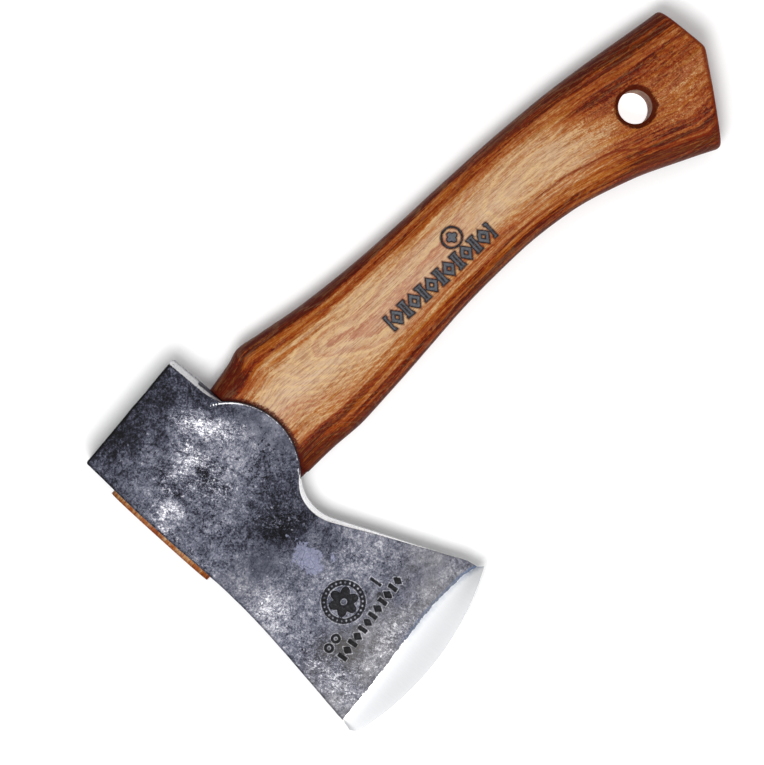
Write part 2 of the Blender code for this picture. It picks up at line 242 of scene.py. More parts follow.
def closed_skin(name: str, rings: Array, steps: tuple[int, int]) -> bpy.types.Object:
    """A closed mesh from rings of points, capped at both ends.

    Args:
        name: the new object's name.
        rings: shape (rows, 2h, 3), each ring mirroring onto itself as end_cap needs.
        steps: faces across the cap at the first ring and at the last.

    Returns:
        The object, with its seams merged and its faces pointing outwards.
    """
    rows, columns = rings.shape[:2]
    points = [rings.reshape(-1, 3)]
    faces = [grid_faces(rows, columns, around=True)]
    start = rows * columns
    for ring, across, flip in ((rings[0], steps[0], False), (rings[-1], steps[1], True)):
        cap = end_cap(ring, across)
        quads = grid_faces(cap.shape[0], cap.shape[1], around=False) + start
        faces.append(quads[:, ::-1] if flip else quads)
        points.append(cap.reshape(-1, 3))
        start += cap.shape[0] * cap.shape[1]
    mesh = bpy.data.meshes.new(name)
    mesh.from_pydata(np.concatenate(points).tolist(), [], np.concatenate(faces).tolist())
    shape = bmesh.new()
    shape.from_mesh(mesh)
    bmesh.ops.remove_doubles(shape, verts=shape.verts, dist=WELD)
    bmesh.ops.recalc_face_normals(shape, faces=shape.faces)
    if shape.calc_volume(signed=True) < 0:
        bmesh.ops.reverse_faces(shape, faces=shape.faces)
    shape.to_mesh(mesh)
    shape.free()
    return show(name, mesh)


def turned(name: str, profile: Array, centre: Vector, points: int) -> bpy.types.Object:
    """A closed shape turned about an upright axis: each profile point carried round a circle.

    Args:
        name: the new object's name.
        profile: (radius, z) from the top down, shape (rows, 2).
        centre: where the axis crosses z = 0 of the profile.
        points: points round the circle.

    Returns:
        The object, closed at both ends.
    """
    angle = np.arange(points) * 2 * math.pi / points
    x = centre.x + profile[:, :1] * np.cos(angle)
    y = centre.y + profile[:, :1] * np.sin(angle)
    z = centre.z + np.broadcast_to(profile[:, 1:], x.shape)
    return closed_skin(name, np.stack([x, y, z], axis=-1), (1, 1))


def block(name: str, low: Sequence[float], high: Sequence[float]) -> bpy.types.Object:
    """A box between two corners."""
    shape = bmesh.new()
    bmesh.ops.create_cube(shape, size=1)
    middle, size = (Vector(low) + Vector(high)) / 2, Vector(high) - Vector(low)
    matrix = Matrix.Translation(middle) @ Matrix.Diagonal((*size, 1))
    bmesh.ops.transform(shape, matrix=matrix, verts=shape.verts)
    return settled(name, shape)


def settled(name: str, shape: bmesh.types.BMesh) -> bpy.types.Object:
    """A new object in the scene with the shape as its mesh. The shape is freed."""
    mesh = bpy.data.meshes.new(name)
    shape.to_mesh(mesh)
    shape.free()
    return show(name, mesh)


def show(name: str, mesh: bpy.types.Mesh) -> bpy.types.Object:
    """A new object in the scene for the mesh, which lies in the row frame already."""
    piece = bpy.data.objects.new(name, mesh)
    bpy.context.scene.collection.objects.link(piece)
    return piece


def carve(piece: bpy.types.Object, cutters: Sequence[bpy.types.Object]) -> None:
    """Cuts the cutters out of the piece for good, and removes them."""
    for cutter in cutters:
        step = piece.modifiers.new(cutter.name, "BOOLEAN")
        step.operation = "DIFFERENCE"
        step.object = cutter
    bpy.context.view_layer.update()
    evaluated = piece.evaluated_get(bpy.context.evaluated_depsgraph_get())
    mesh = bpy.data.meshes.new_from_object(evaluated)
    piece.modifiers.clear()
    piece.data = mesh
    mesh.name = piece.name
    for cutter in cutters:
        bpy.data.objects.remove(cutter)


def places(piece: bpy.types.Object) -> Array:
    """Every vertex of the piece, shape (n, 3), in metres."""
    co = np.empty(len(piece.data.vertices) * 3, np.float32)
    piece.data.vertices.foreach_get("co", co)
    return co.reshape(-1, 3).astype(float)


def normals(piece: bpy.types.Object) -> Array:
    """The normal of every vertex of the piece, shape (n, 3)."""
    n = np.empty(len(piece.data.vertices) * 3, np.float32)
    piece.data.vertices.foreach_get("normal", n)
    return n.reshape(-1, 3).astype(float)


def press(piece: bpy.types.Object, height: Array) -> None:
    """Moves every vertex along its normal by its height, in metres."""
    moved = places(piece) + normals(piece) * height[:, None]
    piece.data.vertices.foreach_set("co", moved.astype(np.float32).ravel())
    piece.data.update()


def mark(piece: bpy.types.Object, name: str, values: Array) -> None:
    """Stores one number per vertex under a name that the materials read."""
    layer = piece.data.attributes.new(name, "FLOAT", "POINT")
    layer.data.foreach_set("value", np.asarray(values, np.float32))


def mark_places(piece: bpy.types.Object, name: str, values: Array) -> None:
    """Stores one place per vertex, shape (n, 3), under a name that the materials read."""
    layer = piece.data.attributes.new(name, "FLOAT_VECTOR", "POINT")
    layer.data.foreach_set("vector", np.asarray(values, np.float32).ravel())


def round_off(piece: bpy.types.Object) -> None:
    """Shades the piece smooth, with a crease wherever two faces meet at more than CREASE."""
    piece.data.shade_smooth()
    piece.data.set_sharp_from_angle(angle=CREASE)


# --- materials -------------------------------------------------------------------------------------------


class Sheet:
    """A material's node tree, filled from left to right."""

    def __init__(self, name: str) -> None:
        """Starts a material that holds one Principled shader."""
        self.material = bpy.data.materials.new(name)
        self.material.use_nodes = True
        self.nodes = self.material.node_tree.nodes
        self.links = self.material.node_tree.links
        self.shader = self.nodes["Principled BSDF"]

    def add(
        self, kind: str, inputs: dict[str | int, object] | None = None, **settings: object
    ) -> bpy.types.Node:
        """A new node.

        Args:
            kind: the node's type name, without its ShaderNode.
            inputs: a value or a socket for each input, by name or number.
            settings: the node's own properties.

        Returns:
            The node.
        """
        node = self.nodes.new("ShaderNode" + kind)
        for key, value in settings.items():
            setattr(node, key, value)
        for key, value in (inputs or {}).items():
            self.feed(node.inputs[key], value)
        return node

    def feed(self, target: Socket, value: object) -> None:
        """Links a socket to the target, or sets the target's own value."""
        if isinstance(value, Socket):
            self.links.new(value, target)
        else:
            target.default_value = value

    def read(self, name: str) -> Socket:
        """The piece's own attribute of that name."""
        return self.add("Attribute", attribute_name=name).outputs["Fac"]

    def follow(self, name: str, length: float, width: float) -> Socket:
        """The piece's own vector attribute of that name, counted in lengths and widths of so many mm."""
        found = self.add("Attribute", attribute_name=name).outputs["Vector"]
        size = (1000 / length, 1000 / width, 1000 / width)
        return self.add("Mapping", {"Vector": found, "Scale": size}).outputs[0]

    def place(self, scale: tuple[float, float, float], turn: float = 0.0) -> Socket:
        """Object coordinates, in millimetres times the scale, turned about Z by degrees."""
        found = self.add("TexCoord").outputs["Object"]
        turned = self.add("Mapping", {"Vector": found, "Rotation": (0, 0, math.radians(turn))})
        size = tuple(s * 1000 for s in scale)
        return self.add("Mapping", {"Vector": turned.outputs[0], "Scale": size}).outputs[0]

    def noise(
        self, vector: Socket, scale: float, detail: float = 4, rough: float = 0.55, warp: float = 0
    ) -> Socket:
        """Noise about 0.5, at a scale on the vector."""
        inputs = {"Vector": vector, "Scale": scale, "Detail": detail, "Roughness": rough, "Distortion": warp}
        return self.add("TexNoise", inputs).outputs["Fac"]

    def cells(self, vector: Socket, scale: float, feature: str = "F1") -> Socket:
        """Distance to scattered points, at a scale on the vector."""
        return self.add("TexVoronoi", {"Vector": vector, "Scale": scale}, feature=feature).outputs["Distance"]

    def calc(self, operation: str, a: object, b: object = 0.0, c: object = 0.0) -> Socket:
        """The result of a Math node."""
        node = self.add("Math", operation=operation)
        for target, value in zip(node.inputs, (a, b, c)):
            self.feed(target, value)
        return node.outputs[0]

    def plus(self, first: object, *others: object) -> Socket:
        """All the values added up, from left to right."""
        for other in others:
            first = self.calc("ADD", first, other)
        return first

    def minus(self, a: object, b: object) -> Socket:
        """a less b."""
        return self.calc("SUBTRACT", a, b)

    def times(self, a: object, b: object) -> Socket:
        """a times b."""
        return self.calc("MULTIPLY", a, b)

    def times_plus(self, a: object, b: object, c: object) -> Socket:
        """a times b, plus c."""
        return self.calc("MULTIPLY_ADD", a, b, c)

    def sway(self, noise: Socket, size: float) -> Socket:
        """The noise as a swing from -size to size, which it reaches at 0.3 and 0.7."""
        return self.between(noise, 0.3, 0.7, -size, size)

    def between(self, value: Socket, low: float, high: float, start: float = 0.0, end: float = 1.0) -> Socket:
        """start where the value is below low, end where it is above high, and eased between."""
        inputs = {"Value": value, "From Min": low, "From Max": high, "To Min": start, "To Max": end}
        return self.add("MapRange", inputs, interpolation_type="SMOOTHSTEP").outputs["Result"]

    def ramp(self, value: Socket, stops: Sequence[tuple[float, Colour]]) -> Socket:
        """A colour for each value, from (value, colour) stops."""
        node = self.add("ValToRGB", {"Fac": value})
        for i, (place, colour) in enumerate(stops):
            stop = node.color_ramp.elements[i] if i < 2 else node.color_ramp.elements.new(place)
            stop.position, stop.color = place, colour
        return node.outputs["Color"]

    def blend(self, share: object, a: object, b: object, mode: str = "MIX") -> Socket:
        """a at share 0 and b at share 1."""
        node = self.add("Mix", data_type="RGBA", blend_type=mode)
        for key, value in ((0, share), (6, a), (7, b)):
            self.feed(node.inputs[key], value)
        return node.outputs[2]

    def bump(self, height: Socket, depth: float, strength: float) -> Socket:
        """A normal for a height of 0 to 1 that stands for a depth in metres."""
        inputs = {"Height": height, "Distance": depth, "Strength": strength}
        return self.add("Bump", inputs).outputs["Normal"]

    def finish(self, **inputs: object) -> bpy.types.Material:
        """Feeds the shader's inputs, an underscore in a name standing for a space, and gives the material."""
        for key, value in inputs.items():
            self.feed(self.shader.inputs[key.replace("_", " ")], value)
        return self.material


class Slot(Enum):
    """The record's material slots that new pieces take."""

    FORGED = "forged_steel"
    WOOD = "oiled_wood"


@dataclass(frozen=True)
class SteelNoises:
    """The place and the noises that the forged steel's layers share."""

    place: Socket
    fine: Socket
    grit: Socket
    shell: Socket
    gloom: Socket


@dataclass(frozen=True)
class ForgedSteel:
    """Dark forge scale with lighter worn patches, bare ground faces, dark stamped marks and painted
    highlights.

    It reads patch, calm, wear, pit, warmth, peel, stamp, bare, ground, tempered and glint.
    """

    black: Colour = srgb(16, 16, 18)
    dark: Colour = seen(44, 45, 56, 1.2)
    blue_grey: Colour = seen(86, 88, 102, 1.2)
    grey: Colour = seen(118, 119, 131, 1.2)
    pale: Colour = seen(152, 152, 159, 1.2)
    silver: Colour = seen(186, 186, 192, 1.2)
    white: Colour = seen(236, 236, 240, 1.2)
    warm: Colour = seen(150, 146, 140, 1.2)
    lavender: Colour = seen(126, 129, 151, 1.2)
    honed: Colour = seen(229, 231, 234, 1.2)
    ground: Colour = seen(238, 239, 241, 1.2)
    temper: Colour = seen(98, 114, 142, 1.2)
    shine: Colour = srgb(224, 224, 228)
    gleam: Colour = srgb(253, 253, 254)
    glint: Colour = srgb(250, 250, 250)
    sweep: float = 68.0
    rubbed_rough: float = 0.38
    ground_rough: float = 0.24
    relief_depth: float = 0.00026

    def make(self) -> bpy.types.Material:
        """Builds the material, from the scale up to the rubbed and the ground faces."""
        s = Sheet("forged_steel")
        place = s.place((1, 1, 1))
        noises = SteelNoises(
            place=place,
            fine=s.noise(place, 1.5, 6, 0.62, 0.3),
            grit=s.noise(place, 4.5, 2, 0.6),
            shell=s.noise(place, 0.62, 7, 0.66, 0.5),
            gloom=s.noise(place, 0.85, 6, 0.68, 0.6),
        )
        fine, shell = noises.fine, noises.shell
        dots = s.between(s.cells(place, 0.95), 0.10, 0.17, 1.0, 0.0)
        dots = s.times(dots, s.between(s.noise(place, 0.45, 3), 0.47, 0.53))
        light = self.light(s, noises, dots)
        colour = self.peeled(s, noises, self.scale(s, light))
        inked = s.between(s.read("stamp"), -0.00013, 0.00013, 1.0, 0.0)
        colour = self.stamped(s, noises, colour, inked)
        # bare: rubbed-bare undersides, partly shown shining as painted highlight, and a painted highlight
        # line on the ear's rim
        bare = s.read("bare")
        bright = s.between(s.plus(bare, s.sway(noises.gloom, 0.30), s.sway(fine, 0.12)), 0.34, 0.60)
        colour = s.blend(bright, colour, self.rubbed(s, noises, bare))
        brink = s.plus(s.read("ground"), s.between(shell, 0.35, 0.65, -0.00022, 0.00022))
        ground = s.between(brink, -0.00010, 0.00014)
        lines = s.noise(s.place((6.0, 0.08, 1.0)), 1.0, 3, 0.6)
        colour = self.tempered(s, colour, brink)
        colour = s.blend(ground, colour, self.polish(s, brink, lines))
        rough = s.blend(bright, s.between(light, 0.2, 0.9, 0.60, 0.44), (self.rubbed_rough,) * 4)
        rough = s.blend(ground, rough, (self.ground_rough,) * 4)
        relief = s.plus(s.times(fine, 0.5), s.times(shell, 0.5))
        relief = s.times(s.times_plus(dots, -0.25, relief), s.minus(1.0, ground))
        relief = s.times_plus(s.times(lines, ground), 0.02, relief)
        s.shader.inputs["Specular IOR Level"].default_value = 0.12
        return s.finish(
            Base_Color=colour,
            Metallic=s.times_plus(inked, -0.5, 0.55),
            Roughness=rough,
            Normal=s.bump(relief, self.relief_depth, 0.9),
        )

    def light(self, s: Sheet, noises: SteelNoises, dots: Socket) -> Socket:
        """How light the scale is, from 0 to 1: mottled, spalled, flaked, chipped and pitted.

        Args:
            s: the material's sheet.
            noises: the shared noises.
            dots: 1 in the small round pits.

        Returns:
            The lightness.
        """
        place, fine, grit = noises.place, noises.fine, noises.grit
        mottle = s.plus(s.sway(fine, 0.13), s.between(grit, 0.25, 0.75, -0.08, 0.08))
        mottle = s.plus(mottle, s.between(s.noise(place, 0.36, 5, 0.62, 1.1), 0.38, 0.62, -0.085, 0.085))
        # patch holds painted shade along the head's rounded edges as well as the scale's tone
        light = s.plus(s.read("patch"), s.sway(s.noise(place, 0.30, 4, 0.5, 0.3), 0.05))
        light = s.times_plus(mottle, s.minus(1.0, s.read("calm")), light)
        wear, pit = s.read("wear"), s.read("pit")
        swept = s.noise(s.place((0.45, 1.5, 1), self.sweep), 1.0, 6, 0.74, 0.5)
        spall = s.plus(s.between(swept, 0.36, 0.64, -0.29, 0.23), s.sway(grit, 0.18))
        light = s.times_plus(spall, s.times(wear, 0.8), light)
        flaked = s.between(s.times_plus(wear, 0.14, noises.shell), 0.63, 0.67)
        light = s.times_plus(flaked, s.between(fine, 0.34, 0.62, 0.02, 0.26), light)
        chip = s.between(s.times_plus(wear, 0.10, s.noise(place, 1.9, 4, 0.7, 0.9)), 0.68, 0.71)
        light = s.times_plus(chip, 0.42, light)
        hollow = s.between(s.times_plus(pit, -0.12, noises.gloom), 0.330, 0.300)
        light = s.times_plus(hollow, -0.24, light)
        return s.times_plus(s.times(dots, pit), -0.34, light)

    def scale(self, s: Sheet, light: Socket) -> Socket:
        """The scale's colour, from blue-black to white, warmer towards the bevel."""
        stops = [(0.0, self.black), (0.16, self.dark), (0.34, self.blue_grey), (0.5, self.grey)]
        stops += [(0.64, self.pale), (0.8, self.silver), (1.0, self.white)]
        colour = s.ramp(light, stops)
        return s.blend(s.times(s.read("warmth"), 0.6), colour, s.blend(0.5, colour, self.warm))

    def peeled(self, s: Sheet, noises: SteelNoises, colour: Socket) -> Socket:
        """The colour with a cracked lavender film where the scale has peeled off."""
        peel = s.plus(s.read("peel"), s.between(noises.shell, 0.35, 0.65, -0.16, 0.16))
        crack = s.between(s.cells(noises.place, 0.38, "DISTANCE_TO_EDGE"), 0.0, 0.03, 0.30, 0.0)
        film = s.minus(s.between(noises.fine, 0.3, 0.7, 0.42, 0.56), crack)
        flake = s.ramp(film, [(0.0, self.dark), (0.5, self.lavender), (1.0, self.white)])
        return s.blend(s.between(peel, 0.47, 0.53), colour, flake)

    def stamped(self, s: Sheet, noises: SteelNoises, colour: Socket, inked: Socket) -> Socket:
        """The colour with the struck marks black, and a painted highlight on the raised burrs beside them."""
        colour = s.blend(s.times(inked, s.between(noises.fine, 0.3, 0.7, 1.0, 0.90)), colour, self.black)
        # painted highlight: white in a thin band just outside each struck mark
        burr_highlight = s.between(s.calc("ABSOLUTE", s.minus(s.read("stamp"), 0.00026)), 0.0, 0.00016, 0.5, 0.0)
        return s.blend(s.times(burr_highlight, s.between(noises.gloom, 0.40, 0.56)), colour, self.white)

    def rubbed(self, s: Sheet, noises: SteelNoises, bare: Socket) -> Socket:
        """The colour of the bare rims and sides, brushed grey to shining; the shining end is painted
        highlight.
        """
        scuff = s.plus(s.times(noises.fine, 0.7), s.times(noises.shell, 0.3))
        brushed = s.ramp(scuff, [(0.34, self.blue_grey), (0.46, self.pale), (0.62, self.silver)])
        # painted highlight: the most rubbed places shown shining
        lit = s.ramp(scuff, [(0.30, self.grey), (0.40, self.shine), (0.50, self.gleam)])
        return s.blend(s.between(bare, 0.66, 0.98), brushed, lit)

    def tempered(self, s: Sheet, colour: Socket, brink: Socket) -> Socket:
        """The colour with a blue temper line just outside the ground face."""
        halo = s.between(s.calc("ABSOLUTE", s.plus(brink, 0.00035)), 0.0, 0.0007, 0.8, 0.0)
        return s.blend(s.times(halo, s.read("tempered")), colour, self.temper)

    def polish(self, s: Sheet, brink: Socket, lines: Socket) -> Socket:
        """The ground face's colour: fine lines, tinted blue or glinting along the shoulder."""
        polish = s.ramp(lines, [(0.2, self.honed), (0.75, self.ground)])
        tint = s.times(s.read("tempered"), s.between(brink, 0.0, 0.0022, 0.55, 0.0))
        polish = s.blend(tint, polish, self.temper)
        glint = s.times(s.read("glint"), s.between(brink, 0.0002, 0.0012, 1.0, 0.0))
        return s.blend(glint, polish, self.glint)


@dataclass(frozen=True)
class WoodNoises:
    """The noises that the oiled wood's layers share. The first three follow the grain."""

    fibre: Socket
    hair: Socket
    speck: Socket
    patches: Socket
    grains: Socket


@dataclass(frozen=True)
class OiledWood:
    """Oiled hardwood: pale in the middle of the broad faces, darker and redder round the sides, partly
    painted shade.

    It reads grain, side, dusk, ring, line, cut, tail, scorch and brand.
    """

    pale: Colour = seen(224, 192, 158)
    straw: Colour = seen(212, 172, 130)
    tan: Colour = seen(192, 132, 80)
    orange: Colour = seen(176, 94, 36)
    brown: Colour = seen(148, 56, 8)
    dark: Colour = seen(124, 34, 3)
    deep: Colour = seen(82, 14, 2)
    red: Colour = seen(180, 94, 64)
    gold: Colour = seen(206, 156, 78)
    amber: Colour = seen(184, 104, 18)
    fleck: Colour = seen(234, 196, 144)
    char: Colour = seen(38, 34, 38)
    ash: Colour = seen(104, 108, 114)
    # scorched also colours the painted shade beside the ears and the head
    scorched: Colour = seen(84, 18, 5)
    grain_turn: float = 9.0
    relief_depth: float = 0.00016

    def make(self) -> bpy.types.Material:
        """Builds the material, from the oiled wood's tone up to the burnt marks."""
        s = Sheet("oiled_wood")
        noises = WoodNoises(
            fibre=s.noise(s.follow("grain", 18, 1.2), 1.0, 5, 0.62, 0.3),
            hair=s.noise(s.follow("grain", 9, 0.5), 1.0, 4, 0.65, 0.2),
            speck=s.noise(s.follow("grain", 2.2, 0.40), 1.0, 2, 0.5),
            patches=s.noise(s.place((0.035, 0.11, 0.11), self.grain_turn), 1.0, 3, 0.5, 0.4),
            grains=s.noise(s.place((0.9, 1.9, 1.9), self.grain_turn), 1.0, 4, 0.7, 0.5),
        )
        side = self.tone(s, noises)
        stops = [(0.0, self.pale), (0.28, self.straw), (0.45, self.tan), (0.62, self.orange)]
        stops += [(0.82, self.brown), (0.96, self.dark), (1.0, self.deep)]
        colour, late = self.ringed(s, noises, side, s.ramp(side, stops))
        colour = self.threaded(s, noises, side, colour)
        colour = self.ended(s, noises, late, colour)
        colour = self.burnt(s, noises, colour)
        rough = s.between(noises.fibre, 0.3, 0.7, 0.46, 0.60)
        relief = s.plus(s.times(noises.fibre, 0.35), s.times(noises.hair, 0.4))
        relief = s.times_plus(late, -0.15, s.times_plus(noises.grains, 0.25, relief))
        s.shader.inputs["Specular IOR Level"].default_value = 0.07
        return s.finish(Base_Color=colour, Roughness=rough, Normal=s.bump(relief, self.relief_depth, 0.8))

    def tone(self, s: Sheet, noises: WoodNoises) -> Socket:
        """How dark and red the wood is, from 0 in the middle of the broad faces to 1 round the sides, partly
        painted shade.
        """
        streak = s.noise(s.follow("grain", 60, 1.9), 1.0, 6, 0.62, 0.25)
        mottle = s.noise(s.place((0.5, 0.8, 0.8), self.grain_turn), 1.0, 5, 0.7, 0.8)
        curl = s.noise(s.place((0.8, 0.8, 0.8)), 1.0, 5, 0.72, 2.4)
        dusk = s.read("dusk")
        # side: the wood's redder sides, partly painted shade where they turn away from the light
        side = s.plus(s.read("side"), s.sway(noises.fibre, 0.07))
        outer = s.between(side, 0.25, 0.75, 0.15, 1.0)
        side = s.times_plus(s.between(streak, 0.34, 0.66, -0.26, 0.26), outer, s.plus(side, dusk))
        side = s.plus(side, s.sway(noises.patches, 0.08), s.sway(noises.grains, 0.09), s.sway(mottle, 0.07))
        curl = s.times(s.between(curl, 0.32, 0.68, -0.20, 0.20), s.between(dusk, 0.05, 0.4))
        return s.plus(side, curl)

    def ringed(
        self, s: Sheet, noises: WoodNoises, side: Socket, colour: Socket
    ) -> tuple[Socket, Socket]:
        """Lays the growth rings over the colour, with pink years and amber veins.

        Args:
            s: the material's sheet.
            noises: the shared noises.
            side: the wood's tone.
            colour: the colour below.

        Returns:
            The colour, and how much of the late wood there is in it.
        """
        vein = s.noise(s.follow("grain", 34, 1.1), 1.0, 4, 0.60, 0.2)
        ring = s.plus(s.read("ring"), s.sway(noises.fibre, 0.16), s.sway(noises.grains, 0.10))
        turn = s.calc("FRACT", ring)
        late = s.times(s.between(turn, 0.35, 0.90), s.between(turn, 0.92, 1.0, 1.0, 0.0))
        early = s.times(s.between(turn, 0.0, 0.10), s.between(turn, 0.12, 0.45, 1.0, 0.0))
        count = s.add("CombineXYZ", {"X": s.calc("FLOOR", ring), "Y": 0.37}).outputs[0]
        year = s.noise(count, 0.83, 0)
        late = s.times(late, s.between(year, 0.35, 0.65, 0.10, 1.0))
        pink = s.times(s.between(year, 0.50, 0.62), s.between(noises.patches, 0.42, 0.58))
        colour = s.blend(s.times(pink, s.between(side, 0.3, 0.8, 0.28, 0.10)), colour, self.red)
        amber = s.blend(s.between(side, 0.4, 0.75), self.gold, self.amber)
        glow = s.times(s.between(vein, 0.50, 0.62), s.between(side, 0.85, 1.05, 1.0, 0.3))
        colour = s.blend(s.times(glow, s.between(side, 0.25, 0.7, 0.12, 0.55)), colour, amber)
        colour = s.blend(s.times(late, s.between(side, 0.3, 0.8, 0.50, 0.25)), colour, self.red)
        colour = s.blend(s.times(late, s.between(side, 0.45, 0.85, 0.0, 0.50)), colour, self.deep)
        early = s.times(early, s.between(year, 0.35, 0.65, 0.75, 0.25))
        early = s.times(early, s.between(side, 0.35, 0.65, 1.0, 0.12))
        return s.blend(early, colour, self.fleck), late

    def threaded(self, s: Sheet, noises: WoodNoises, side: Socket, colour: Socket) -> Socket:
        """The colour with its dark streak, dark and light threads, light flecks and dark pores."""
        hair, speck = noises.hair, noises.speck
        stain = s.plus(s.read("line"), s.sway(hair, 0.2))
        colour = s.blend(s.between(stain, 0.3, 0.9, 0.0, 0.8), colour, self.dark)
        colour = s.blend(s.between(hair, 0.36, 0.54, 0.42, 0.0), colour, self.orange, "MULTIPLY")
        bright = s.blend(s.between(side, 0.35, 0.8), self.fleck, self.gold)
        rim = s.between(side, 0.85, 1.05, 1.0, 0.45)
        lit = s.times(s.between(speck, 0.55, 0.68), s.between(side, 0.2, 0.75, 0.50, 0.26))
        thread = s.times(s.between(hair, 0.60, 0.70), s.between(side, 0.3, 0.7, 0.15, 0.46))
        for share in (lit, thread):
            colour = s.blend(s.times(share, rim), colour, bright)
        return s.blend(s.between(speck, 0.32, 0.42, 0.30, 0.0), colour, self.brown)

    def ended(self, s: Sheet, noises: WoodNoises, late: Socket, colour: Socket) -> Socket:
        """The colour with open pores on the sawn ends, and painted shade in a line round them."""
        vessels = s.between(s.noise(s.place((1, 1, 1)), 1.6, 3, 0.6), 0.40, 0.62)
        butt = s.ramp(vessels, [(0.0, self.deep), (0.45, self.dark), (1.0, self.orange)])
        butt = s.blend(s.times(late, 0.6), butt, self.deep)
        colour = s.blend(s.times(s.read("cut"), 0.85), colour, butt)
        # painted shade: darker along the rim of the end face, where it rounds over
        end_shade = s.plus(s.read("end_shade"), s.sway(noises.hair, 0.25))
        return s.blend(s.between(end_shade, 0.1, 1.0, 0.0, 0.85), colour, self.dark)

    def burnt(self, s: Sheet, noises: WoodNoises, colour: Socket) -> Socket:
        """The colour with scorched rims and painted shade, and with the burnt border's soot and its scorched
        outline.
        """
        grains = noises.grains
        # the scorch mask: scorched rings round the lanyard hole, and painted shade beside the ears and the
        # head
        scorch_and_shade = s.plus(s.read("scorch_and_shade"), s.sway(grains, 0.30))
        colour = s.blend(s.between(scorch_and_shade, 0.15, 0.85, 0.0, 0.93), colour, self.scorched)
        edge = s.plus(s.read("brand"), s.sway(grains, 0.00010))
        colour = s.blend(s.between(edge, 0.00005, 0.00055, 0.70, 0.0), colour, self.scorched)
        sooty = s.plus(s.between(edge, -0.0006, -0.0001, 0.62, 0.12), s.sway(grains, 0.25))
        charred = s.ramp(sooty, [(0.1, self.char), (0.7, self.ash)])
        return s.blend(s.between(edge, -0.00006, 0.00006, 1.0, 0.0), colour, charred)


@dataclass(frozen=True)
class WedgeWood:
    """The wooden wedge: dry hardwood with its fibres running into the eye."""

    dark: Colour = seen(124, 62, 28)
    orange: Colour = seen(186, 112, 62)
    tan: Colour = seen(212, 160, 112)

    def make(self) -> bpy.types.Material:
        """Builds the material, from object coordinates alone."""
        s = Sheet("wedge_wood")
        fibre = s.noise(s.place((0.07, 1.2, 1.6)), 1.0, 5, 0.62, 0.3)
        hair = s.noise(s.place((0.2, 3.2, 3.2)), 1.0, 4, 0.65, 0.2)
        pores = s.noise(s.place((1.6, 2.8, 2.8)), 1.0, 3, 0.6)
        tone = s.plus(s.times(fibre, 0.6), s.times(hair, 0.4))
        colour = s.ramp(tone, [(0.36, self.dark), (0.48, self.orange), (0.62, self.tan)])
        colour = s.blend(s.between(pores, 0.34, 0.42, 0.6, 0.0), colour, self.dark)
        rough = s.between(fibre, 0.3, 0.7, 0.55, 0.72)
        s.shader.inputs["Specular IOR Level"].default_value = 0.12
        return s.finish(Base_Color=colour, Roughness=rough, Normal=s.bump(tone, 0.00020, 0.8))


@dataclass(frozen=True)
class CutSteel:
    """Bare steel cut off and hammered flush: bright, with dark scratches and a little rust."""

    bright: Colour = srgb(176, 176, 178)
    dull: Colour = srgb(96, 94, 94)
    rust: Colour = srgb(112, 62, 34)

    def make(self) -> bpy.types.Material:
        """Builds the material, from object coordinates alone."""
        s = Sheet("cut_steel")
        scratch = s.noise(s.place((1.0, 5.0, 0.6)), 1.0, 4, 0.6)
        blotch = s.noise(s.place((1, 1, 1)), 0.8, 4, 0.6)
        colour = s.ramp(scratch, [(0.3, self.dull), (0.62, self.bright)])
        colour = s.blend(s.between(blotch, 0.55, 0.75, 0.0, 0.6), colour, self.rust)
        rough = s.between(blotch, 0.4, 0.7, 0.34, 0.6)
        relief = s.bump(scratch, 0.00008, 0.7)
        return s.finish(Base_Color=colour, Metallic=0.85, Roughness=rough, Normal=relief)


# --- ornaments -------------------------------------------------------------------------------------------


def bar(a: Array, b: Array, half_a: float, half_b: float) -> Array:
    """How far points lie outside an upright rectangle about the origin, below 0 inside it."""
    return np.maximum(np.abs(a) - half_a, np.abs(b) - half_b)


def lozenge(a: Array, b: Array, half_a: float, half_b: float) -> Array:
    """How far points lie outside a lozenge about the origin, below 0 inside it."""
    return (np.abs(a) / half_a + np.abs(b) / half_b - 1) * half_a * half_b / math.hypot(half_a, half_b)


def hoop(a: Array, b: Array, radius: float, width: float) -> Array:
    """How far points lie outside a flat ring about the origin, below 0 in the ring."""
    return np.abs(np.hypot(a, b) - radius) - width / 2


def rosette(a: Array, b: Array, radius: float, petals: int, turn: float = 0.0) -> Array:
    """How far points lie outside a rosette: its outline is radius times 0.62 + 0.38 |cos(petals t / 2)|."""
    angle = np.arctan2(b, a) - turn
    return np.hypot(a, b) - radius * (0.62 + 0.38 * np.abs(np.cos(petals * angle / 2)))


def local(points: Array, x: float, y: float, turn: float) -> tuple[Array, Array]:
    """Places along and across a direction in the plan, from a start.

    Args:
        points: shape (n, 3).
        x: the start's x.
        y: the start's y.
        turn: the direction, in radians from +X towards +Y.

    Returns:
        The two places of each point.
    """
    dx, dy = points[:, 0] - x, points[:, 1] - y
    return dx * math.cos(turn) + dy * math.sin(turn), dy * math.cos(turn) - dx * math.sin(turn)


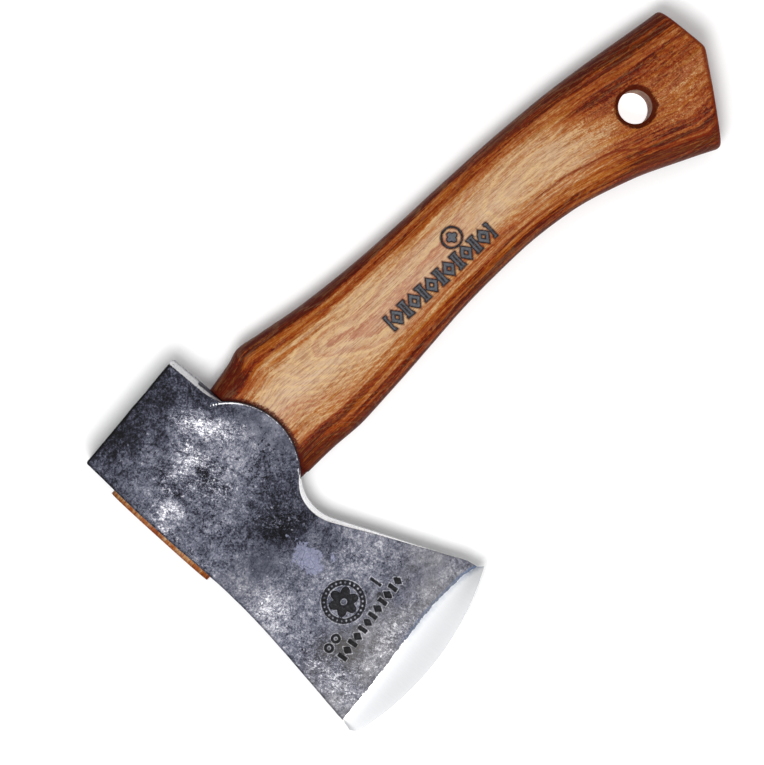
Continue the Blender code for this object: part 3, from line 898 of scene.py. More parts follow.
@dataclass(frozen=True)
class BurntBorder:
    """A border of lozenges and bars burnt into the handle, with a small rosette in a ring above it."""

    start: tuple[float, float] = (0.0735, -0.0126)
    slope: float = math.radians(-7.0)
    length: float = 0.0460
    half_height: float = 0.0031
    repeats: int = 6
    emblem: tuple[float, float] = (0.1085, -0.0100)
    emblem_radius: float = 0.0034
    emblem_band: float = 0.0007
    depth: float = 0.00038

    def outside(self, points: Array) -> Array:
        """How far each point lies outside the burnt marks in the plan, below 0 inside them."""
        a, b = local(points, *self.start, self.slope)
        pitch = self.length / self.repeats
        u = np.mod(a, pitch) - pitch / 2
        big = lozenge(u, b, pitch * 0.34, self.half_height * 1.05)
        eye = lozenge(u, b, pitch * 0.085, self.half_height * 0.26)
        beside = np.abs(u) - pitch * 0.42
        posts = bar(beside, b, pitch * 0.080, self.half_height * 0.95)
        caps = bar(beside, np.abs(b) - self.half_height * 0.84, pitch * 0.125, self.half_height * 0.16)
        row = np.minimum(np.maximum(big, -eye), np.minimum(posts, caps))
        row = np.maximum(row, np.maximum(-a, a - self.length))
        c, d = local(points, *self.emblem, self.slope)
        ring = hoop(c, d, self.emblem_radius, self.emblem_band)
        sign = np.minimum(ring, rosette(c, d, self.emblem_radius * 0.62, 4))
        ragged = cloud(points * [1, 1, 0], 0.0009, 41, 2) * 0.00007
        return np.minimum(row, sign) + ragged


@dataclass(frozen=True)
class HeadStamps:
    """Marks struck into the upper cheek: a beaded ring round a rosette, a row of punches, two small
    rings and a stroke."""

    centre: tuple[float, float] = (-0.0050, -0.0595)
    radius: float = 0.0072
    band: float = 0.0017
    beads: int = 26
    row_start: tuple[float, float] = (-0.0205, -0.0710)
    row_end: tuple[float, float] = (0.0130, -0.0686)
    row_marks: int = 12
    rings: tuple[float, float] = (-0.0178, -0.0655)
    rings_apart: float = 0.0038
    stroke: tuple[float, float] = (0.0067, -0.0633)
    depth: float = 0.00036

    def outside(self, points: Array) -> Array:
        """How far each point lies outside the struck marks in the plan, below 0 inside them."""
        a, b = local(points, *self.centre, 0.0)
        middle = self.radius - self.band / 2
        ring = hoop(a, b, middle, self.band)
        angle = np.mod(np.arctan2(b, a), 2 * math.pi / self.beads) - math.pi / self.beads
        bead = np.hypot(np.hypot(a, b) - middle, angle * middle) - self.band * 0.24
        ring = np.maximum(ring, -bead)
        flower = rosette(a, b, self.radius * 0.70, 6, math.pi / 6)
        flower = np.maximum(flower, -(np.hypot(a, b) - self.radius * 0.17))
        run = math.dist(self.row_start, self.row_end)
        turn = math.atan2(self.row_end[1] - self.row_start[1], self.row_end[0] - self.row_start[0])
        c, d = local(points, *self.row_start, turn)
        pitch = run / self.row_marks
        u = np.mod(c, pitch) - pitch / 2
        odd = np.mod(np.floor(c / pitch), 2) > 0.5
        row = np.where(odd, lozenge(u, d, pitch * 0.50, 0.0017), bar(u, d, pitch * 0.24, 0.0016))
        row = np.maximum(row, np.maximum(-c, c - run))
        e, f = local(points, *self.rings, turn)
        pair = hoop(np.abs(e) - self.rings_apart / 2, f, 0.0012, 0.0007)
        stroke = bar(*local(points, *self.stroke, turn), 0.00045, 0.0021)
        marks = np.minimum.reduce([ring, flower, row, pair, stroke])
        return marks + cloud(points * [1, 1, 0], 0.0009, 17, 2) * 0.00008


# --- the head --------------------------------------------------------------------------------------------


@dataclass(frozen=True)
class Patch:
    """A soft oval in the plan, in millimetres and degrees, where something changes by so much."""

    x: float
    y: float
    length: float
    width: float
    turn: float
    change: float

    def weigh(self, points: Array) -> Array:
        """1 in the middle of the oval, falling off as exp(-r^2) to its rim at r = 1 and beyond."""
        a, b = local(points, self.x * MM, self.y * MM, math.radians(self.turn))
        return np.exp(-((a / (self.length * MM)) ** 2) - (b / (self.width * MM)) ** 2)


def added(patches: Sequence[Patch], points: Array) -> Array:
    """The patches' changes added up at each point."""
    return sum(patch.change * patch.weigh(points) for patch in patches)


@dataclass
class ForgedHead:
    """The head: poll, flat cheeks with ears, hollow neck, thinning blade and ground bevel.

    Its patches say where the scale is lighter or darker, and the next four tables where it is worn
    through, smooth, pitted or flaked off.
    """

    poll_top: float = -0.0238
    poll_underside: float = 0.0200
    ear_radius: float = 0.0234
    ear_reach: float = 0.0270
    ear_offset: float = -0.0037
    ear_taper: float = 0.0012
    neck_radius: float = 0.0157
    beard_slope: float = 0.405
    edge_radius: float = 0.0950
    edge_middle: float = -0.0045
    bevel_width: float = 0.0118
    shoulder_thickness: float = 0.0052
    edge_thickness: float = 0.00015
    blade_crown: float = 0.55
    draft: float = 0.0020
    top_round: float = 0.0008
    toe_round: float = 0.0018
    eye_length: float = 0.0430
    eye_width: float = 0.0164
    eye_slant: float = -0.0024
    eye_waist: float = 0.0008
    eye_squareness: float = 2.6
    under_power: float = 1.18
    toe_share: float = 0.03
    bevel_swell: float = 0.25
    cheek_columns: int = 150
    under_columns: int = 8
    corner_columns: int = 5
    cheek_rows: int = 145
    blade_rows: int = 76
    shoulder_rows: int = 18
    bevel_rows: int = 22
    finish: ForgedSteel = field(default_factory=ForgedSteel)
    stamps: HeadStamps = field(default_factory=HeadStamps)
    patches: tuple[Patch, ...] = (
        Patch(-4, 33, 34, 11, 0, -0.30),
        Patch(-24, 24, 5, 12, 10, -0.10),
        Patch(12, 9, 10.5, 3.4, -68, 0.15),
        Patch(8, 17, 5, 2.6, -60, 0.12),
        Patch(1, 7, 7, 2.6, -88, 0.12),
        Patch(-7, 9, 6.5, 5.5, 0, 0.12),
        Patch(-20, 3, 4.4, 3.4, 30, 0.18),
        Patch(-17, 1, 8, 6, 40, 0.14),
        Patch(-3, -3, 4.5, 2.6, -70, -0.16),
        Patch(14, -12, 8, 6, 40, -0.07),
        Patch(4, -12, 6, 5, 0, -0.03),
        Patch(22, -6, 6, 9, 15, 0.06),
        Patch(1, -29, 9, 6, -25, -0.34),
        Patch(-9, -31, 6, 4, -20, -0.08),
        Patch(-16, -31, 8, 5, 0, -0.02),
        Patch(-25, -24, 5, 6, 0, 0.05),
        Patch(10, -42, 6, 4, -30, -0.10),
        Patch(10, -52, 8, 6, 20, 0.07),
        Patch(-22, -47, 6, 6, 0, -0.08),
        Patch(-12, -46, 6, 4, -20, 0.05),
        Patch(-29, -52, 2.5, 12, 10, 0.12),
        Patch(-26, -72, 7, 6, 0, 0.02),
        Patch(-8, -79, 9, 3, 0, 0.06),
        Patch(6, -76, 8, 4, 0, -0.02),
        Patch(22, -74, 6, 6, 30, 0.02),
        Patch(-31, -80, 5, 2.5, 0, 0.06),
        Patch(-23, -43, 6, 8, 0, 0.27),
        Patch(-18, -66, 6, 8, 0, -0.20),
        Patch(-27, -64, 4, 5, 0, -0.14),
        Patch(-12, 6, 3.5, 9, 0, -0.26),
        Patch(19, 9, 4, 6, 0, -0.14),
        Patch(9, -3, 7, 4.5, 0, 0.17),
        Patch(-2, 3, 3, 4.6, 0, -0.36),
        Patch(-20, -5, 5, 4, 0, -0.10),
        Patch(3, -20, 10, 4, 0, -0.14),
        Patch(-12, -21, 8, 4, 0, -0.10),
        Patch(4, -69, 10, 5, 0, -0.11),
        Patch(13, -71, 8, 4, 0, -0.08),
        Patch(16, -49, 3, 8, 30, 0.14),
        Patch(24, -66, 4, 5, 30, 0.08),
        Patch(11, -21, 9, 4, 10, -0.13),
        Patch(5, -44, 4, 4, 0, -0.13),
        Patch(-15, -71, 5, 4.5, 0, -0.24),
        Patch(-5, -56, 5, 4, 0, -0.10),
        Patch(-8, 12, 6, 2.6, 0, -0.08),
        Patch(18, 20, 3, 8, 0, -0.10),
        Patch(18, -57, 3.5, 5, 20, 0.12),
        Patch(8, 5, 3, 4, 0, 0.10),
        Patch(-21, 29, 4, 4, 0, 0.10),
        Patch(-12, 18, 10, 3, 0, 0.07),
        Patch(8, 27, 12, 5, 0, -0.06),
        Patch(16, 15, 4, 6, 0, -0.07),
        Patch(-23, -30, 4, 4, 0, 0.11),
        Patch(-18, -43, 4, 4, 0, 0.08),
    )
    worn: tuple[Patch, ...] = (
        Patch(12, 9, 11, 4.0, -68, 1.0),
        Patch(8, 17, 5, 3.0, -60, 0.7),
        Patch(1, 7, 7, 3.5, -88, 0.85),
        Patch(-7, 9, 8, 6.5, 0, 0.75),
        Patch(-3, -3, 7, 5, -70, 0.9),
        Patch(-20, 3, 6, 5, 30, 0.8),
        Patch(-26, -10, 3, 12, 0, 0.5),
        Patch(2, -27, 8, 6, -25, 0.75),
        Patch(8, -53, 7, 7, 0, 0.35),
        Patch(-26, -70, 8, 12, 0, 0.7),
        Patch(-22, -42, 7, 8, 0, 0.5),
        Patch(-5, -78, 16, 5, 0, 0.7),
    )
    smooth: tuple[Patch, ...] = (
        Patch(22, -3, 6, 13, 10, 0.6),
        Patch(-13, -31, 8, 5, 0, 0.55),
        Patch(19, -75, 9, 5, 0, 0.45),
        Patch(3, -33, 5, 3, 0, 0.4),
    )
    pitted: tuple[Patch, ...] = (
        Patch(13, -11, 11, 8, 40, 1.0),
        Patch(-10, 20, 18, 7, 0, 0.5),
        Patch(-14, -10, 10, 12, 0, 0.8),
        Patch(4, 2, 9, 7, 0, 0.7),
        Patch(-22, -50, 8, 18, 0, 0.7),
        Patch(8, -66, 22, 9, 0, 0.5),
    )
    flakes: tuple[Patch, ...] = (
        Patch(-1.2, -40.8, 7.4, 5.0, 68, 1.0),
        Patch(4.6, -47.0, 2.6, 1.3, 40, 0.6),
    )

    def __post_init__(self) -> None:
        """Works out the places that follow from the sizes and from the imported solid."""
        low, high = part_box("axe_head")
        self.mid = (low.z + high.z) / 2
        self.poll_y, self.edge_y = high.y, low.y
        self.toe, self.heel = low.x, high.x
        self.shoulder_y = self.edge_y + self.bevel_width
        self.cheek_end = -self.eye_length / 2 + 0.0065
        normal = np.array([1, self.beard_slope]) / math.hypot(1, self.beard_slope)
        self.beard_normal = normal
        self.beard_level = float(normal @ [self.heel, float(self.edge_arc(np.array(self.heel)))])
        self.ear = np.array([self.ear_reach - self.ear_radius, self.ear_offset])
        level = self.beard_level + self.neck_radius - normal @ self.ear
        along = math.sqrt((self.ear_radius + self.neck_radius) ** 2 - level**2)
        self.neck = self.ear + level * normal + along * np.array([normal[1], -normal[0]])
        share = self.ear_radius / (self.ear_radius + self.neck_radius)
        self.ear_to_neck = self.ear[1] + (self.neck[1] - self.ear[1]) * share
        self.neck_to_beard = self.neck[1] - self.neck_radius * normal[1]
        self.poll_to_ear = self.ear[1] + math.sqrt(
            self.ear_radius**2 - (self.poll_underside - self.ear[0]) ** 2
        )
        toe_y = float(self.edge_arc(np.array(self.toe)))
        top = self.poll_top
        self.top = fair_line(
            [(self.poll_y, top), (0.005, top - 0.0018), (-0.025, top - 0.0027), (-0.040, top - 0.0041)]
            + [(-0.065, top - 0.0080), (toe_y, self.toe)]
        )
        self.swell = fair_line(
            [(self.poll_y, 1), (0.020, 1), (0.012, 0.45), (-0.020, 0.45), (-0.026, 1), (-0.040, 0.85)]
            + [(-0.050, 0.6), (-0.060, 0.36), (-0.075, 0.12), (self.shoulder_y, 0.08)]
        )
        self.thinning = fair_line(
            [(0, 1), (0.1, 0.93), (0.2, 0.74), (0.32, 0.5), (0.5, 0.28), (0.75, 0.11), (1, 0)]
        )
        self.eye_top = float(self.top(np.array(0.0)))
        self.shoulder = fair_line(
            [(-0.040, -0.0843), (-0.0186, -0.0838), (-0.002, -0.0830), (0.011, -0.0826), (0.024, -0.0836)]
            + [(0.030, -0.0850), (0.036, -0.0876)]
        )

    def edge_arc(self, x: Array) -> Array:
        """y of the cutting edge: an arc about (edge_middle, edge_y + edge_radius)."""
        return self.edge_y + self.edge_radius - np.sqrt(self.edge_radius**2 - (x - self.edge_middle) ** 2)

    def underside(self, y: Array) -> Array:
        """x of the outline towards the hand: straight poll, round ear, hollow neck and straight beard."""
        ear = self.ear[0] + np.sqrt(np.maximum(self.ear_radius**2 - (y - self.ear[1]) ** 2, 0))
        neck = self.neck[0] - np.sqrt(np.maximum(self.neck_radius**2 - (y - self.neck[1]) ** 2, 0))
        beard = (self.beard_level - self.beard_normal[1] * y) / self.beard_normal[0]
        zones = [y > self.poll_to_ear, y > self.ear_to_neck, y > self.neck_to_beard]
        return np.select(zones, [np.full_like(y, self.poll_underside), ear, neck], beard)

    def half_thickness(self, y: Array) -> Array:
        """Half the thickness in the middle of the blade: flat cheeks, then a hollow run to the shoulder."""
        share = (self.cheek_end - y) / (self.cheek_end - self.shoulder_y)
        return self.shoulder_thickness / 2 + (self.mid - self.shoulder_thickness / 2) * self.thinning(share)

    def sections(self, y: Array, inset: Array) -> Array:
        """Closed sections across the head, each from the parting line of the underside over the upper
        cheek to the top and back over the lower cheek.

        The underside is a quarter of a squared oval as wide as its draft. The cheek's height is its half
        thickness times 1 - crown c^2, with c from -1 to 1 across it. The top is a quarter round and a flat.

        Args:
            y: the section's places, shape (rows,).
            inset: how far each section is drawn in all round.

        Returns:
            Shape (rows, 2h, 3).
        """
        y, inset = y[:, None], inset[:, None]
        out, top = self.underside(y) - inset, self.top(y) + inset
        half = self.half_thickness(y) - inset
        draft = self.draft * self.swell(y)
        corner = out - draft
        rounding = np.minimum(self.top_round, half / 3)
        down = (self.cheek_end - y) / (self.cheek_end - self.shoulder_y)
        crown = self.blade_crown * ease(down, 0, 1)
        taper = self.ear_taper * ease(out, self.poll_underside, self.ear_reach) * (y > self.ear_to_neck)
        c = np.linspace(0, 1, self.cheek_columns)[None, :]
        x = corner + (top + rounding - corner) * c
        across = (x - (corner + top) / 2) / ((corner - top) / 2)
        start = self.poll_underside * 0.7
        z = half * (1 - crown * across**2) - taper * ease(x, start, self.ear_reach)
        quarter = np.linspace(0, math.pi / 2, self.under_columns + 1)[None, :-1]
        under_x = out - draft * (1 - np.cos(quarter) ** self.under_power)
        under_z = z[:, :1] * np.sin(quarter) ** self.under_power
        bend = np.linspace(0, math.pi / 2, self.corner_columns + 1)[None, 1:]
        over_x = top + rounding * (1 - np.sin(bend))
        over_z = z[:, -1:] - rounding * (1 - np.cos(bend))
        flat = np.linspace(1, 0, self.corner_columns + 1)[None, 1:]
        flat_x = np.repeat(top, self.corner_columns, axis=1)
        half_x = np.concatenate([under_x, x, over_x, flat_x], axis=1)
        half_z = np.concatenate([under_z, z, over_z, over_z[:, -1:] * flat], axis=1)
        whole_x = np.concatenate([half_x, half_x[:, -2:0:-1]], axis=1)
        whole_z = np.concatenate([half_z, -half_z[:, -2:0:-1]], axis=1)
        return np.stack([whole_x, np.broadcast_to(y, whole_x.shape), self.mid + whole_z], axis=-1)

    def bevel(self, rows: int) -> Array:
        """Sections through the ground bevel: straight from the shoulder to the edge's arc, swollen by
        bevel_swell times s (1 - s) of their thickness, with s from 0 to 1."""
        start = self.sections(np.array([self.shoulder_y]), np.zeros(1))[0]
        start[:, 1] = self.shoulder(start[:, 0])
        across = (start[:, 0] - start[:, 0].min()) / np.ptp(start[:, 0])
        edge_x = self.toe + (self.heel - self.toe) * across
        edge_y = self.edge_arc(edge_x) + self.toe_round * np.clip(1 - across / self.toe_share, 0, 1) ** 2
        edge_z = self.mid + np.sign(start[:, 2] - self.mid) * self.edge_thickness / 2
        edge = np.stack([edge_x, edge_y, edge_z], axis=-1)
        s = np.linspace(0, 1, rows)[1:, None, None]
        rings = start + (edge - start) * s
        swell = 1 + self.bevel_swell * s[..., 0] * (1 - s[..., 0])
        rings[..., 2] = self.mid + (rings[..., 2] - self.mid) * swell
        return rings

    def eye_rings(self, grow: float, x: Array, points: int = 160) -> Array:
        """Squared ovals down the eye, slimmer by the waist halfway.

        Args:
            grow: how much larger than the eye they are, all round.
            x: the ovals' places, shape (rows,).
            points: points in each oval.

        Returns:
            Shape (rows, points, 3), each oval mirroring onto itself.
        """
        share = ((x - self.eye_top) / (self.poll_underside - self.eye_top))[:, None]
        waist = self.eye_waist * (1 - (2 * np.clip(share, 0, 1) - 1) ** 2)
        angle = np.arange(points)[None, :] * 2 * math.pi / points
        along, up = squared_circle(angle, self.eye_squareness)
        half_length = self.eye_length / 2 - 0.4 * self.eye_waist * share - waist + grow
        half_width = self.eye_width / 2 - waist + grow
        y = self.eye_slant * share + half_length * along
        z = self.mid + half_width * up
        return np.stack([np.broadcast_to(x[:, None], y.shape), y, z], axis=-1)

    def build(self) -> bpy.types.Object:
        """Makes the head's mesh, cuts the eye, works its surface and dresses it."""
        bend = np.linspace(0, math.pi / 2, self.corner_columns)
        body = np.concatenate(
            [
                np.linspace(self.poll_y - 0.0013, -0.0500, self.cheek_rows),
                np.linspace(-0.0503, -0.0730, self.blade_rows),
                np.linspace(-0.0735, -0.0820, self.shoulder_rows),
            ]
        )
        y = np.concatenate([self.poll_y - self.top_round * (1 - np.cos(bend)), body])
        inset = np.concatenate([self.top_round * (1 - np.sin(bend)), np.zeros(len(body))])
        rings = np.concatenate([self.sections(y, inset), self.bevel(self.bevel_rows)])
        head = closed_skin("forged_head", rings, (30, 1))
        cutter = closed_skin("eye", self.eye_rings(0, np.linspace(self.eye_top - 0.006, 0.033, 24)), (1, 1))
        carve(head, [cutter])
        round_off(head)
        self.work(head)
        head.data.materials.clear()
        head.data.materials.append(self.finish.make())
        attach(head, BODY)
        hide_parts("axe_head")
        return head

    def work(self, head: bpy.types.Object) -> None:
        """Gives the skin its forged unevenness and its struck marks, and stores what the steel reads."""
        p, n = places(head), normals(head)
        x, y, z = p.T
        upper = (z > self.mid) & (n[:, 2] > 0.5)
        in_eye = np.abs(z - self.mid) < self.eye_width / 2 + 0.0004
        in_eye &= (np.abs(y) < self.eye_length / 2 + 0.001) & (x > self.eye_top + 0.0004)
        under = ease(x - self.underside(y) + self.draft * self.swell(y), 0.00005, 0.00025)
        shoulder = self.shoulder(x) - y
        rough = (1 - ease(shoulder, -0.0015, 0)) * ~in_eye
        outside = self.stamps.outside(p)
        sunk = (1 - ease(outside, -0.00022, 0.00012)) * upper
        press(head, self.unevenness(p, n, under) * rough - sunk * self.stamps.depth)
        mark(head, "stamp", np.where(upper, outside, 0.01))
        mark(head, "ground", np.where(in_eye, -0.01, shoulder))
        mark(head, "tempered", ease(x, -0.008, 0.004) * (0.65 + 0.5 * ease(x, 0.02, 0.03)))
        mark(head, "glint", 1 - ease(x, -0.010, 0.002))
        # bare: rubbed bare, with painted highlight on the undersides and a painted highlight line on the
        # ear's rim
        mark(head, "bare", np.where(in_eye, 0, self.bareness_and_highlight(p, under)))
        wander = np.stack([cloud(p, 0.004, 21, 3), cloud(p, 0.004, 22, 3), 0 * x], axis=-1)
        shift = p + wander * 0.0016
        # patch: the scale's tone, with painted shade along the ear's rim and the rounded poll and top edges
        mark(head, "patch", self.lightness(p, shift))
        mark(head, "wear", added(self.worn, shift))
        mark(head, "calm", added(self.smooth, shift))
        mark(head, "pit", 0.2 + added(self.pitted, shift))
        mark(head, "warmth", ease(-y, 0.055, 0.076) * (0.6 + 0.6 * cloud(p, 0.008, 35, 3)))
        flake = added(self.flakes, p) + cloud(p, 0.0035, 37, 4) * 0.30
        mark(head, "peel", np.where(z > self.mid, flake, cloud(p, 0.02, 38, 3) * 0.6))

    def unevenness(self, p: Array, n: Array, under: Array) -> Array:
        """How far the forged skin stands out at each point, in metres.

        Args:
            p: the points.
            n: their normals.
            under: 1 on the underside and 0 elsewhere.

        Returns:
            The heights.
        """
        y = p[:, 1]
        scale = cloud(p, 0.0032, 3, 3) * 0.000045 + cloud(p, 0.012, 5, 2) * 0.00011
        poll_side = under * (y > self.poll_to_ear)
        scale += poll_side * cloud(p * [1, 1, 0.3], 0.0015, 9, 3) * 0.00012
        face = ease(n[:, 1], 0.7, 0.95) * (y > self.poll_y - 0.001)
        return scale + face * (cloud(p, 0.006, 12, 2) * 0.00012)

    def bareness_and_highlight(self, p: Array, under: Array) -> Array:
        """How far each point is rubbed bare, partly painted highlight: the poll's and neck's undersides, the
        ear's rim.

        Args:
            p: the points.
            under: 1 on the underside and 0 elsewhere.

        Returns:
            0 where the scale is whole, and about 1 where it is gone and painted shining.
        """
        x, y, z = p.T
        poll, ear = y > self.poll_to_ear, y > self.ear_to_neck
        height = np.abs(z - self.mid) / self.half_thickness(y)
        # the undersides: rubbed bare, with painted highlight growing towards the cheeks
        sides = np.where(ear, poll * 0.52, 0.74) + 0.30 * ease(height, 0.15, 0.55)
        sides *= poll | (y < self.ear_to_neck)
        # the ear's rim: a thin painted highlight line, brighter towards the poll
        inside = np.abs(np.hypot(x - self.ear[0], y - self.ear[1]) - self.ear_radius + 0.00085)
        rim = (1 - ease(inside, 0.00010, 0.00030)) * (0.58 + 0.34 * ease(y, 0.002, 0.009))
        rim *= (y < self.poll_to_ear + 0.002) & ear & (x > 0.012)
        return np.maximum(under * sides, rim)

    def lightness(self, p: Array, shift: Array) -> Array:
        """How light the cheeks are at each point, before the steel's own noises: the scale's tone, and
        painted shade along the edges.

        Args:
            p: the points.
            shift: the points moved about, so that the patches get ragged outlines.

        Returns:
            0 for black to 1 for white.
        """
        x, y, z = p.T
        light = np.full(len(p), 0.375) + 0.05 * ease(-y, 0.03, 0.06)
        light += added(self.patches, shift) * np.where(z > self.mid, 1, 0.6)
        light += cloud(p, 0.010, 31, 4) * 0.06 + cloud(p, 0.0022, 33, 3) * 0.045
        # painted shade: darker in a band inside the ear's rim, along the poll's edge and along the top's
        # rounded edge
        ear = (y < self.poll_to_ear) & (y > -0.02)
        light -= 0.06 * ease(x - self.underside(y) + 0.0024, 0, 0.0014) * ear
        light -= 0.20 * ease(y, self.poll_y - 0.0012, self.poll_y - 0.0002)
        return light - 0.12 * ease(self.top(y) + 0.0012 - x, 0, 0.0010)


# --- the handle ------------------------------------------------------------------------------------------


def wedge_slot(node: bpy.types.Object, gap: float, over: float) -> bpy.types.Object:
    """The slot that a wedge sits in: the wedge's own hull, wider by the gap and carried on past its top.

    Args:
        node: the wedge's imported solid.
        gap: clearance all round.
        over: how far the slot runs past the wedge's top.

    Returns:
        The slot's shape.
    """
    p = places(node)
    middle = p.mean(axis=0)
    centred = p - middle
    spread = np.linalg.svd(centred[:, 1:] - centred[:, 1:].mean(axis=0), full_matrices=False)[2]
    flat = centred[:, 1:] @ spread.T
    grown = flat + np.sign(flat) * gap
    p[:, 1:] = middle[1:] + grown @ spread
    top = p[:, 0] < p[:, 0].min() + over
    p[:, 0] += np.where(top, -over, gap)
    shape = bmesh.new()
    for point in p:
        shape.verts.new(point)
    bmesh.ops.convex_hull(shape, input=shape.verts)
    loose = [v for v in shape.verts if not v.link_faces]
    bmesh.ops.delete(shape, geom=loose, context="VERTS")
    bmesh.ops.recalc_face_normals(shape, faces=shape.faces)
    return settled(node.name + "_slot", shape)


@dataclass
class Handle:
    """The curved handle: tongue in the eye, neck, grip and the broad faceted end with its hole.

    Its neck shades paint shade on the sides by the head; its grip shades make the grip darker, or lighter
    below 0.
    """

    head: ForgedHead
    grip_length: float = 0.1830
    neck_thickness: float = 0.0188
    grip_thickness: float = 0.0202
    squareness: float = 2.7
    fit_gap: float = 0.0003
    tongue_proud: float = 0.0016
    tongue_tilt: float = 0.04
    end_bulge: float = 0.0076
    end_corner: float = 0.32
    end_softness: float = 0.09
    end_round: float = 0.0018
    back_corner: float = 0.998
    front_corner: float = 0.881
    hole_radius: float = 0.00555
    hole_chamfer: float = 0.0016
    hole_from_end: float = 0.0307
    hole_y: float = -0.0285
    # the direction in which the dark ring round the hole reaches further, partly painted shade
    scorch_and_shade_turn: float = math.radians(-42)
    kerf_depth: float = 0.0340
    kerf_width: float = 0.0016
    slot_over: float = 0.0030
    grain_width: float = 0.0210
    columns: int = 224
    tongue_rows: int = 50
    neck_rows: int = 84
    border_rows: int = 152
    end_rows: int = 110
    # painted shade on the rounded sides of the neck, by the head
    neck_painted_shade: tuple[Patch, ...] = (
        Patch(24, 16, 9, 4, -30, 0.30),
        Patch(30, -21, 10, 5, -20, 0.14),
    )
    grip_shades: tuple[Patch, ...] = (
        Patch(82, -2, 30, 7, -8, -0.22),
        Patch(148, -19, 18, 8, -14, 0.14),
    )
    border: BurntBorder = field(default_factory=BurntBorder)
    finish: OiledWood = field(default_factory=OiledWood)

    def __post_init__(self) -> None:
        """Works out the outlines and the places that follow from the head."""
        low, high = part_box("handle")
        self.mid = self.head.mid
        self.start = self.head.ear_reach
        self.end_thickness = high.z - low.z
        self.back = fair_line(
            [(-0.04, 0.0183), (0.02, 0.0192), (0.045, 0.0201), (0.09, 0.0181), (0.18, 0.0135), (0.29, 0.0093)]
            + [(0.40, 0.0063), (0.51, 0.0036), (0.62, 0.0009), (0.73, -0.0027), (0.84, -0.0072)]
            + [(0.94, -0.0119), (1.0, -0.0146)]
        )
        self.front = fair_line(
            [(-0.055, -0.0232), (0.02, -0.0246), (0.10, -0.0268), (0.18, -0.0273), (0.345, -0.0279)]
            + [(0.51, -0.0304), (0.62, -0.0347), (0.73, -0.0428), (0.84, -0.0543), (0.88, -0.0588)]
        )
        self.thickness = fair_line(
            [(0.0, self.neck_thickness), (0.12, self.grip_thickness), (0.5, self.grip_thickness)]
            + [(0.85, self.end_thickness), (1.0, self.end_thickness)]
        )
        self.hole_x = self.start + self.grip_length - self.hole_from_end

    def oval(self) -> tuple[Array, Array]:
        """A squared oval of radius 1 with evenly spaced points, as places along and up from its end.

        Its curve is |along|^n + |up|^n = 1, and its points are spaced by arc length on a 2 to 1 oval.
        """
        along, up = squared_circle(np.linspace(0, math.pi, 4001), self.squareness)
        step = np.hypot(np.diff(along) * 2, np.diff(up))
        run = np.concatenate([[0], np.cumsum(step)])
        even = np.linspace(0, run[-1], self.columns // 2 + 1)
        half_along, half_up = np.interp(even, run, along), np.interp(even, run, up)
        whole_along = np.concatenate([half_along, half_along[-2:0:-1]])
        whole_up = np.concatenate([half_up, -half_up[-2:0:-1]])
        return whole_along, whole_up

    def grip(self, share: Array, inset: Array) -> Array:
        """Sections of the grip. Their planes fan out until they meet the end's two corners, and their
        middles then swell out to the end's own corner, as two straight runs.

        Args:
            share: places along the grip, 0 at the ears and 1 at the end, shape (rows,).
            inset: how far each section is drawn in all round.

        Returns:
            Shape (rows, columns, 3).
        """
        fan = ease(share, 0.35, 1)
        at_back = share + (self.back_corner - 1) * fan
        at_front = share + (self.front_corner - 1) * fan
        back = np.stack([self.start + self.grip_length * at_back, self.back(at_back)], axis=-1)
        front = np.stack([self.start + self.grip_length * at_front, self.front(at_front)], axis=-1)
        span = np.linalg.norm(back - front, axis=-1, keepdims=True)
        across = (back - front) / span
        ahead = np.stack([across[:, 1], -across[:, 0]], axis=-1)
        along, up = self.oval()
        half = self.thickness(share) / 2
        toward_back = (1 - along) / (1 - self.end_corner)
        toward_front = (1 + along) / (1 + self.end_corner)
        apart = np.sqrt((toward_back - toward_front) ** 2 + self.end_softness**2)
        bulge = (toward_back + toward_front - apart) / 2
        bulge = self.end_bulge * bulge[None, :] * ease(share, 0.55, 1)[:, None]
        reach = along[None, :] * (span / 2 - inset[:, None])
        middle = (back + front) / 2
        plan = middle[:, None] + reach[..., None] * across[:, None] + bulge[..., None] * ahead[:, None]
        z = self.mid + up[None, :] * (half - inset)[:, None]
        return np.concatenate([plan, z[..., None]], axis=-1)

    def tongue(self, x: Array, inset: Array) -> Array:
        """Sections of the tongue: the eye's ovals less the clearance, leaning like the tongue's end."""
        rings = np.concatenate(
            [
                self.head.eye_rings(-self.fit_gap - drawn, np.array([at]), self.columns)
                for at, drawn in zip(x, inset)
            ]
        )
        lean = 1 - ease(x, self.head.eye_top, self.head.eye_top + 0.02)
        rings[..., 0] += self.tongue_tilt * rings[..., 1] * lean[:, None]
        return rings

